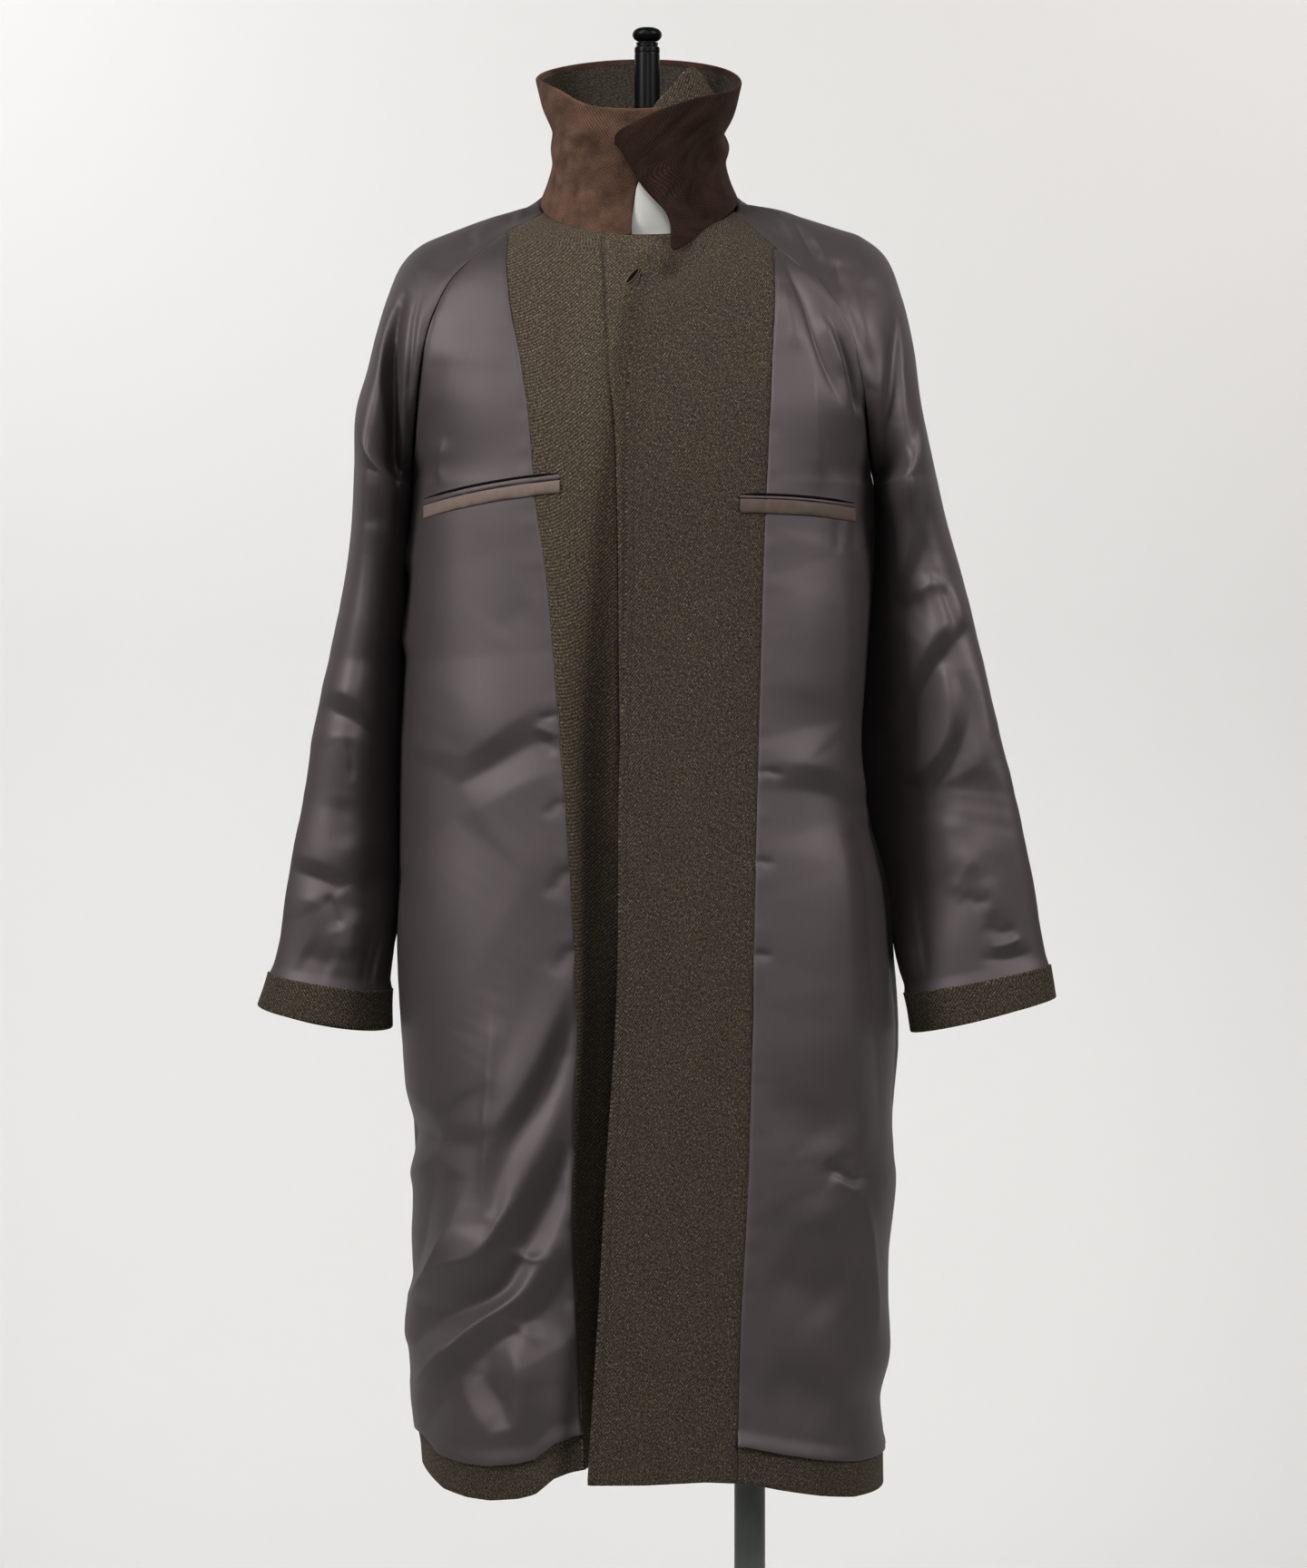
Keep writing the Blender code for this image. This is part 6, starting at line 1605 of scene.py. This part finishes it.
def stitches(name, line, normals, material, pitch=STITCH_PITCH, length=STITCH_LENGTH, radius=STITCH_RADIUS):
    """A row of small stitches along a line on the cloth."""
    done = walked(line)
    size = radius * np.array([0.35, 0.85, 1.0, 0.85, 0.35])[:, None]
    vertices = []
    faces = []
    for index, start in enumerate(np.arange(0.001, done[-1] - length, pitch)):
        spots = np.linspace(start, start + length, len(size))
        centre, up = (
            np.stack([np.interp(spots, done, values[:, axis]) for axis in range(3)], axis=-1)
            for values in (line, normals))
        across = unit(np.cross(unit(centre[-1] - centre[0]), up))
        vertices.append(cord_rings(centre, size * across, size * up, CORD_SIDES).reshape(-1, 3))
        faces.append(cord_faces(len(size), CORD_SIDES, index * len(size) * CORD_SIDES))
    trim(name, np.concatenate(vertices), np.concatenate(faces), material)


def sewing(paint):
    """Edge stitching of the right front, its edge seam as a near-black cord that also paints the shadow
    along the edge, the fly's stitching and the buttonhole.
    """
    tree = surface_tree("facing_right_cloth")
    heights = np.linspace(1.440, 0.412, 260)
    edge = line_at_height(RIGHT_FRONT_EDGE, heights)
    line, normals = front_line(tree, edge + EDGE_STITCH_INSET, heights, STITCH_LIFT)
    stitches("front_edge_stitches", line, normals, paint["thread_dark"])
    # The edge seam: near-black stitches long enough to run together, the seam with a painted shadow along
    # the edge
    line, normals = front_line(tree, edge + EDGE_SEAM_AND_SHADOW_INSET, heights)
    stitches("front_edge_seam_and_shadow", line + np.array(EDGE_SEAM_AND_SHADOW_SHIFT), normals, paint["dark_painted_shade"], *EDGE_SEAM_AND_SHADOW)

    tree = surface_tree("facing_left_cloth", "fly_left_cloth")
    heights = np.linspace(1.460, 1.000, 130)
    xs = line_at_height(FLY_SEAM, heights) - FLY_STITCH_INSET
    stitches("fly_stitches", *front_line(tree, xs, heights, STITCH_LIFT), paint["thread_dark"])

    scale = POINT * (BUTTONHOLE_DEPTH - EYE[1]) / -EYE[1]
    across, down = np.array([np.linspace(first, last, 15) for first, last in zip(*BUTTONHOLE)])
    xs = EYE[0] + (across - PICTURE[0] / 2) * scale
    zs = EYE[2] + (PICTURE[1] / 2 - down) * scale
    buttonhole("front_buttonhole", *front_line(tree, xs, zs, BUTTONHOLE_LIFT), paint)


def buttonhole(name, centre, up, paint):
    """A worked buttonhole: a near-black slit of painted shade inside a bead of thread."""
    steps = len(centre)
    across = unit(np.cross(unit(centre[-1] - centre[0]), up[steps // 2]))
    shares = np.linspace(0.0, 1.0, steps)
    half = BUTTONHOLE_GAP * np.sin(math.pi * (shares * 0.94 + 0.03)) ** 0.7
    wide = across * (half + BUTTONHOLE_BEAD)[:, None]
    lift = np.concatenate([up, up[::-1]])
    ring = np.concatenate([centre + wide, (centre - wide)[::-1]]) + lift * THREAD_LIFT
    heading = unit(np.roll(ring, -1, axis=0) - np.roll(ring, 1, axis=0))
    flat = unit(np.cross(heading, lift))
    rings = cord_rings(ring, BUTTONHOLE_BEAD * flat, THREAD_FLAT * BUTTONHOLE_BEAD * lift, CORD_SIDES)
    places = np.arange(len(ring) * CORD_SIDES).reshape(len(ring), -1)
    faces = ring_faces(np.concatenate([places, places[:1]]))[:, [0, 3, 2, 1]]
    trim(f"{name}_thread", rings.reshape(-1, 3), faces, paint["thread_wool"])
    # The slit is coloured near-black: painted shade
    slit = np.concatenate([centre + sign * across * half[:, None] + up * SLIT_LIFT for sign in (1.0, -1.0)])
    trim(f"{name}_painted_shade_slit", slit, grid_faces(2, steps), paint["dark_painted_shade"])


def turned(name, node, slot, profile, paint, x=0.0, segments=96):
    """A turned piece from a profile of radius and height."""
    profile = np.array(profile, float)
    angles = np.linspace(0.0, 2.0 * math.pi, segments + 1)
    radius = profile[:, :1]
    rings = np.stack([
        x + radius * np.cos(angles), radius * np.sin(angles),
        np.repeat(profile[:, 1:], segments + 1, axis=1)], axis=-1)
    uv = np.stack(np.broadcast_arrays(angles * radius.max(), walked(profile)[:, None]), axis=-1)
    faces = grid_faces(len(profile), segments + 1)[:, ::-1]
    tied(build_mesh(name, rings.reshape(-1, 3), faces, uv.reshape(-1, 2), [paint[slot]]), node)


def rounded(corners, radius, steps=4):
    """A profile with its inner corners rounded off."""
    corners = [np.array(corner, float) for corner in corners]
    points = [corners[0]]
    for before, corner, after in zip(corners, corners[1:], corners[2:]):
        back = before - corner
        ahead = after - corner
        cut = min(radius, 0.45 * np.linalg.norm(back), 0.45 * np.linalg.norm(ahead))
        start = corner + unit(back) * cut
        end = corner + unit(ahead) * cut
        for t in np.linspace(0.0, 1.0, steps + 1):
            points.append(start * (1 - t) ** 2 + corner * 2 * t * (1 - t) + end * t * t)
    points.append(corners[-1])
    return points


def form_pieces(paint):
    """The covered form, its black neck post, and the stand."""
    table = np.array(FORM)
    bottom, top = table[0, 0], table[-1, 0]
    heights = [np.linspace(low, high, 6)[:-1] for low, high in zip(table[:-1, 0], table[1:, 0])] + [[top]]
    close = (0.001, 0.001, 0.001)
    rows = np.vstack([
        (bottom, *close), spline(table[:, 0], table, np.concatenate(heights)), (top + AXIS, *close)])
    angles = np.linspace(0.0, 2.0 * math.pi, 129)
    reach = np.where(np.cos(angles) > 0, rows[:, 2:3], rows[:, 3:4])
    points = np.stack([
        FORM_X + rows[:, 1:2] * np.sin(angles), -reach * np.cos(angles),
        np.repeat(rows[:, :1], len(angles), axis=1)], axis=-1)
    uv = np.stack([run_lengths(points, 1), run_lengths(points, 0)], axis=-1).reshape(-1, 2)
    faces = grid_faces(*points.shape[:2])
    part = build_mesh("form_body", points.reshape(-1, 3), faces, uv, [paint["form_cover"]])
    tied(part, "form_torso")

    foot = top + CONTACT
    knob = [(AXIS, KNOB_TOP)]
    for angle in np.radians(range(8, 172, 8)):
        radius = KNOB_FLAT + (KNOB_RADIUS - KNOB_FLAT) * math.sin(angle) ** 0.8
        knob.append((radius, KNOB_TOP - KNOB_MIDDLE + KNOB_HALF * math.cos(angle)))
    neck = rounded([
        (0.0098, POST_TOP + 0.0012), (0.0094, POST_TOP), (0.0094, POST_TOP - 0.0018),
        (POST_RADIUS, POST_TOP - 0.0030), (POST_RADIUS, POST_TOP - 0.0072),
        (POST_RADIUS - 0.0004, POST_TOP - 0.0078), (POST_RADIUS - 0.0001, POST_TOP - 0.0090),
        (POST_RADIUS, foot), (AXIS, foot)], 0.0010)
    turned("neck_post_turned", "neck_post", "form_black", knob + neck, paint)

    high = bottom - CONTACT
    foot = BASE_THICKNESS + CONTACT
    pole = rounded([(AXIS, high), (POLE_RADIUS, high), (POLE_RADIUS, foot), (AXIS, foot)], 0.0008)
    turned("stand_pole_turned", "stand_pole", "stand_metal", pole, paint, POLE_X)
    base = rounded([
        (AXIS, BASE_THICKNESS), (BASE_RADIUS - 0.004, BASE_THICKNESS),
        (BASE_RADIUS, BASE_THICKNESS - 0.005), (BASE_RADIUS, 0.0015), (BASE_RADIUS - 0.0015, 0.0),
        (AXIS, 0.0)], 0.0030, 6)
    turned("stand_base_turned", "stand_base", "stand_metal", base, paint, segments=160)


class Nodes:
    """Short ways to add shader nodes to one material."""

    def __init__(self, name):
        self.material = bpy.data.materials.new(name)
        self.material.use_nodes = True
        self.tree = self.material.node_tree
        self.shader = self.tree.nodes["Principled BSDF"]

    def add(self, kind, inputs=None, **settings):
        node = self.tree.nodes.new(kind)
        for key, value in settings.items():
            setattr(node, key, value)
        for key, value in (inputs or {}).items():
            if isinstance(value, bpy.types.NodeSocket):
                self.tree.links.new(value, node.inputs[key])
            else:
                node.inputs[key].default_value = value
        return node

    def link(self, socket, name):
        self.tree.links.new(socket, self.shader.inputs[name])

    def set(self, **values):
        for name, value in values.items():
            self.shader.inputs[name.replace("_", " ")].default_value = value

    def cloth(self, across=1.0, down=1.0, turn=0.0):
        uv = self.add("ShaderNodeUVMap", uv_map="cloth").outputs["UV"]
        rotation = (0.0, 0.0, math.radians(turn))
        scale = (across, down, 1.0)
        place = self.add("ShaderNodeMapping", {"Vector": uv, "Rotation": rotation, "Scale": scale})
        return place.outputs["Vector"]

    def noise(self, across, down, detail, rough, turn=0.0):
        vector = self.cloth(across, down, turn)
        inputs = {"Vector": vector, "Scale": 1.0, "Detail": detail, "Roughness": rough}
        return self.add("ShaderNodeTexNoise", inputs).outputs["Fac"]

    def ribs(self, period, turn, distortion):
        inputs = {
            "Vector": self.cloth(turn=turn), "Scale": 0.31416 / period, "Distortion": distortion,
            "Detail": 2.0, "Detail Scale": 300.0}
        return self.add("ShaderNodeTexWave", inputs, wave_type="BANDS", bands_direction="X").outputs["Fac"]

    def ramp(self, factor, stops):
        node = self.add("ShaderNodeValToRGB", {"Fac": factor})
        ramp = node.color_ramp
        while len(ramp.elements) < len(stops):
            ramp.elements.new(0.5)
        for element, (place, colour) in zip(ramp.elements, stops):
            element.position = place
            element.color = (*colour, 1.0)
        return node.outputs["Color"]

    def spread(self, value, low, high):
        node = self.add("ShaderNodeMapRange", {"Value": value, "To Min": low, "To Max": high})
        return node.outputs["Result"]

    def multiply(self, *colours):
        result = colours[0]
        for colour in colours[1:]:
            inputs = {0: 1.0, 6: result, 7: colour}
            result = self.add("ShaderNodeMix", inputs, data_type="RGBA", blend_type="MULTIPLY").outputs[2]
        return result

    def math(self, operation, first, second):
        return self.add("ShaderNodeMath", {0: first, 1: second}, operation=operation).outputs["Value"]

    def bump(self, height, strength, distance):
        node = self.add("ShaderNodeBump", {"Height": height, "Strength": strength, "Distance": distance})
        self.link(node.outputs["Normal"], "Normal")


def linear(*channels):
    """A colour in 0 to 255 as light."""
    return tuple(
        value / 12.92 if value <= 0.04045 else ((value + 0.055) / 1.055) ** 2.4
        for value in (channel / 255.0 for channel in channels))


def scaled(colour, factor):
    """A colour made lighter or darker."""
    return tuple(channel * factor for channel in colour)


def satin(name, colour, roughness, gloss):
    """Smooth satin: fine warp streaks, a shot of rose and grey, a broad soft gloss."""
    n = Nodes(name)
    streaks = n.noise(1500.0, 90.0, 3.0, 0.6)
    picks = n.noise(60.0, 1100.0, 2.0, 0.6)
    mottle = n.noise(30.0, 16.0, 3.0, 0.55)
    tone = n.ramp(streaks, [(0.30, scaled(colour, 0.88)), (0.70, scaled(colour, 1.12))])
    cloud = n.ramp(mottle, [(0.28, (0.93, 0.965, 0.95)), (0.72, (1.07, 1.03, 1.045))])
    n.link(n.multiply(tone, cloud), "Base Color")
    n.link(n.spread(mottle, roughness - 0.03, roughness + 0.04), "Roughness")
    n.set(Specular_IOR_Level=gloss, IOR=1.6, Anisotropic=0.25, Specular_Tint=(1.0, 0.86, 0.875, 1.0))
    tangent = n.add("ShaderNodeTangent", direction_type="UV_MAP", uv_map="cloth")
    n.link(tangent.outputs["Tangent"], "Tangent")
    n.bump(n.math("ADD", streaks, picks), 0.12, 0.0002)
    return n.material


def wool(name, shade, turn=-37.0):
    """Wool twill: faint diagonal ribs under a melange of brown, gold and grey fibres, a dry nap."""
    n = Nodes(name)
    fibres = n.noise(720.0, 540.0, 3.0, 0.75, turn)
    flecks = n.noise(330.0, 250.0, 3.0, 0.8, turn)
    gold = n.noise(900.0, 800.0, 1.0, 0.5, 20.0)
    clouds = n.noise(46.0, 30.0, 3.0, 0.6)
    ribs = n.ribs(0.0021, turn, 0.15)
    tone = n.ramp(fibres, [
        (0.32, linear(26, 22, 18)), (0.45, linear(58, 51, 43)), (0.57, linear(86, 77, 66)),
        (0.70, linear(142, 130, 112))])
    tint = n.ramp(flecks, [(0.30, (0.56, 0.55, 0.56)), (0.50, (1.0, 1.0, 1.0)), (0.70, (1.44, 1.40, 1.32))])
    shine = n.ramp(gold, [(0.58, (1.0, 1.0, 1.0)), (0.72, (1.26, 1.20, 1.08))])
    # The twill's diagonal ribs, with painted shade in their grooves and painted light on their crests
    relief = n.ramp(ribs, [(0.05, (0.50, 0.49, 0.48)), (0.75, (1.16, 1.16, 1.15))])
    cloud = n.ramp(clouds, [(0.3, (0.94, 0.90, 0.96)), (0.7, (1.05, 1.07, 1.00))])
    # A constant scale of the whole colour: above 1 it is painted light, below 1 painted shade; the main
    # wool keeps it near 1
    even = n.ramp(clouds, [(0.0, shade), (1.0, shade)])
    n.link(n.multiply(tone, tint, shine, even, n.multiply(relief, cloud)), "Base Color")
    n.set(Roughness=0.92, Sheen_Weight=0.05, Sheen_Roughness=0.5, Specular_IOR_Level=0.15,
          Sheen_Tint=(0.66, 0.56, 0.44, 1.0))
    height = n.math("ADD", n.math("MULTIPLY", ribs, 0.5), n.math("MULTIPLY", fibres, 0.7))
    n.bump(height, 0.30, 0.0004)
    return n.material


def corduroy(name):
    """Fine-wale corduroy, cut on the bias. Painted light and shade along the collar: the colour is lighter
    on the left half and darker on the right half.
    """
    n = Nodes(name)
    wales = n.ribs(0.0019, 52.0, 0.30)
    nap = n.noise(900.0, 900.0, 3.0, 0.65)
    worn = n.noise(48.0, 48.0, 3.0, 0.55)
    along = n.add("ShaderNodeSeparateXYZ", {"Vector": n.cloth()}).outputs["X"]
    reach = {"Value": along, "From Min": 0.0, "From Max": 0.56}
    length = n.add("ShaderNodeMapRange", reach).outputs["Result"]
    # Painted light and shade along the collar: lighter towards the left end, darker towards the right end
    painted_light_along = n.ramp(length, [
        (0.0, (1.45, 1.50, 1.52)), (0.14, (1.95, 2.05, 2.10)), (0.26, (1.55, 1.60, 1.65)),
        (0.45, (0.90, 0.90, 0.92)), (0.68, (0.62, 0.61, 0.63)), (0.82, (0.44, 0.43, 0.46)),
        (1.0, (0.40, 0.39, 0.42))])
    tone = n.ramp(nap, [(0.30, linear(50, 35, 28)), (0.70, linear(92, 68, 55))])
    # The wales' own ridges, with painted shade in their grooves and painted light on their crests
    relief = n.ramp(wales, [(0.05, (0.66, 0.64, 0.63)), (0.55, (1.0, 1.0, 1.0)), (1.0, (1.16, 1.13, 1.10))])
    cloud = n.ramp(worn, [(0.30, (0.56, 0.56, 0.57)), (0.72, (1.44, 1.44, 1.45))])
    n.link(n.multiply(tone, relief, cloud, painted_light_along), "Base Color")
    n.set(Roughness=0.95, Sheen_Weight=0.10, Sheen_Roughness=0.45, Specular_IOR_Level=0.12,
          Sheen_Tint=(0.70, 0.50, 0.40, 1.0))
    n.bump(n.math("ADD", wales, n.math("MULTIPLY", nap, 0.35)), 0.45, 0.0006)
    return n.material


def cover(name):
    """White cotton cover of the form."""
    n = Nodes(name)
    weave = n.noise(1300.0, 1300.0, 2.0, 0.6)
    stain = n.noise(9.0, 9.0, 3.0, 0.5)
    tone = n.ramp(weave, [(0.3, linear(228, 226, 220)), (0.7, linear(240, 239, 234))])
    cloud = n.ramp(stain, [(0.3, (0.96, 0.955, 0.94)), (0.7, (1.0, 1.0, 1.0))])
    n.link(n.multiply(tone, cloud), "Base Color")
    n.set(Roughness=0.72, Specular_IOR_Level=0.35, Sheen_Weight=0.1)
    n.bump(weave, 0.25, 0.0003)
    return n.material


def lacquer(name, colour, low, high, gloss):
    """Lacquered or painted metal with faint handling marks."""
    n = Nodes(name)
    marks = n.noise(60.0, 9.0, 5.0, 0.65)
    n.link(n.ramp(marks, [(0.3, scaled(colour, 0.85)), (0.75, scaled(colour, 1.25))]), "Base Color")
    n.link(n.spread(marks, low, high), "Roughness")
    n.set(Specular_IOR_Level=gloss, Coat_Weight=0.0, Coat_Roughness=0.08)
    n.bump(n.noise(700.0, 700.0, 2.0, 0.5), 0.04, 0.0002)
    return n.material


def thread(name, colour, sheen=0.2, gloss=0.3):
    """Sewing thread with its twist."""
    n = Nodes(name)
    twist = n.noise(2600.0, 2600.0, 2.0, 0.6)
    n.link(n.ramp(twist, [(0.3, scaled(colour, 0.7)), (0.7, scaled(colour, 1.3))]), "Base Color")
    n.set(Roughness=0.7, Specular_IOR_Level=gloss, Sheen_Weight=sheen)
    n.bump(twist, 0.3, 0.0002)
    return n.material


def paints():
    """All materials."""
    return {
        "lining_satin": satin("lining_satin_weave", linear(57, 51, 51), 0.58, 0.85),
        "welt_left": satin("welt_satin_weave", linear(117, 102, 93), 0.72, 0.35),
        # The right welt is a darker copy of the welt satin: painted shade
        "welt_right": satin("welt_painted_shade_weave", linear(90, 76, 68), 0.74, 0.32),
        "wool_twill": wool("wool_twill_weave", linear(250, 252, 255)),
        # Lighter and darker copies of the wool: painted light on the left facing, the fly and the throat
        # tab, painted shade under the collar
        "wool_painted_light": wool("wool_painted_light_weave", (1.26, 1.25, 1.24)),
        "wool_painted_shade": wool("wool_painted_shade_weave", linear(196, 200, 206)),
        "corduroy": corduroy("corduroy_wales"),
        "form_cover": cover("form_cover_cotton"),
        "form_black": lacquer("form_black_lacquer", linear(12, 13, 13), 0.30, 0.40, 0.14),
        "stand_metal": lacquer("stand_dark_metal", linear(108, 112, 106), 0.42, 0.56, 0.5),
        # Near-black thread for the pocket mouths, the front edge seam and the buttonhole slit: painted
        # shade
        "dark_painted_shade": thread("dark_painted_shade_gaps", linear(15, 12, 11), 0.0, 0.05),
        "thread_dark": thread("thread_dark_brown", linear(46, 38, 30)),
        "thread_wool": thread("thread_olive", linear(92, 80, 62)),
    }


def backdrop_material():
    """Pale paper that is clear from behind, so that it never hides the coat."""
    n = Nodes("backdrop_paper")
    grain = n.add("ShaderNodeTexNoise", {"Scale": 3.0, "Detail": 2.0}).outputs["Fac"]
    n.link(n.ramp(grain, [(0.3, (0.84, 0.835, 0.825)), (0.7, (0.86, 0.855, 0.845))]), "Base Color")
    n.set(Roughness=0.95, Specular_IOR_Level=0.1)
    either = n.add("ShaderNodeMixShader", {
        0: n.add("ShaderNodeNewGeometry").outputs["Backfacing"], 1: n.shader.outputs["BSDF"],
        2: n.add("ShaderNodeBsdfTransparent").outputs["BSDF"]})
    output = next(node for node in n.tree.nodes if node.type == "OUTPUT_MATERIAL")
    n.tree.links.new(either.outputs["Shader"], output.inputs["Surface"])
    return n.material


def studio():
    """Pale floor that sweeps up into the backdrop, soft light from the left, and the camera."""
    profile = [(FLOOR_FRONT, 0.0), (SWEEP_RADIUS, 0.0)]
    for angle in np.radians(range(6, 91, 6)):
        profile.append((SWEEP_RADIUS * (1.0 + math.sin(angle)), SWEEP_RADIUS * (1.0 - math.cos(angle))))
    profile.append((2.0 * SWEEP_RADIUS, BACKDROP_TOP))
    xs = np.linspace(-BACKDROP_HALF_WIDTH, BACKDROP_HALF_WIDTH, 13)
    points = np.array([[(x, y, z - FLOOR_DROP) for x in xs] for y, z in profile])
    flat = points.reshape(-1, 3)
    faces = grid_faces(*points.shape[:2])
    build_mesh("floor_and_backdrop", flat, faces, flat[:, :2], [backdrop_material()])

    scene = bpy.context.scene
    scene.world = bpy.data.worlds.new("studio_world")
    scene.world.use_nodes = True
    background = scene.world.node_tree.nodes["Background"]
    background.inputs["Color"].default_value = (0.96, 0.98, 1.0, 1.0)
    background.inputs["Strength"].default_value = 0.05
    scene.view_settings.view_transform = "Standard"

    # Name, place, target, width, height, spread in degrees, power, colour
    lights = (
        ("key_left", (-2.95, -2.27, 2.81), (-0.05, 0.0, 1.25), 1.3, 2.2, 60, 12.5, (1.0, 0.99, 0.98)),
        ("fill_right", (2.94, -2.03, 3.10), (0.05, 0.0, 1.25), 1.4, 1.8, 60, 10.5, (1.0, 0.98, 0.97)),
        ("top_left", (-1.3, -1.9, 3.9), (-0.05, 0.0, 1.35), 1.2, 1.2, 60, 4.0, (1.0, 1.0, 1.0)),
        ("front_soft", (0.4, -4.6, 2.3), (0.0, 0.0, 1.45), 1.4, 1.4, 60, 3.6, (1.0, 1.0, 1.0)),
        ("backdrop_left", (-1.9, 0.9, 3.0), (-0.7, 2.4, 1.7), 1.4, 1.4, 120, 23.5, (1.0, 1.0, 0.99)),
        ("backdrop_right", (2.1, 0.9, 3.2), (1.0, 2.4, 2.4), 1.4, 1.4, 120, 19.0, (1.0, 0.96, 0.93)),
    )
    for name, place, target, width, height, spread, power, colour in lights:
        data = bpy.data.lights.new(name, "AREA")
        data.shape = "RECTANGLE"
        data.size = width
        data.size_y = height
        data.spread = math.radians(spread)
        data.energy = power
        data.color = colour
        lamp = bpy.data.objects.new(name, data)
        lamp.location = place
        lamp.rotation_euler = (Vector(target) - Vector(place)).to_track_quat("-Z", "Y").to_euler()
        scene.collection.objects.link(lamp)

    data = bpy.data.cameras.new("photo_camera")
    data.sensor_width = 36.0
    data.lens = data.sensor_width * -EYE[1] / (PICTURE[1] * POINT)
    data.clip_end = 50.0
    camera = bpy.data.objects.new("photo_camera", data)
    camera.location = EYE
    camera.rotation_euler = (math.radians(90.0), 0.0, 0.0)
    scene.collection.objects.link(camera)
    scene.camera = camera


paint = paints()
body_pieces(paint)
sleeve_pieces(paint)
collar_pieces(paint)
pocket_pieces(paint)
sewing(paint)
form_pieces(paint)
studio()
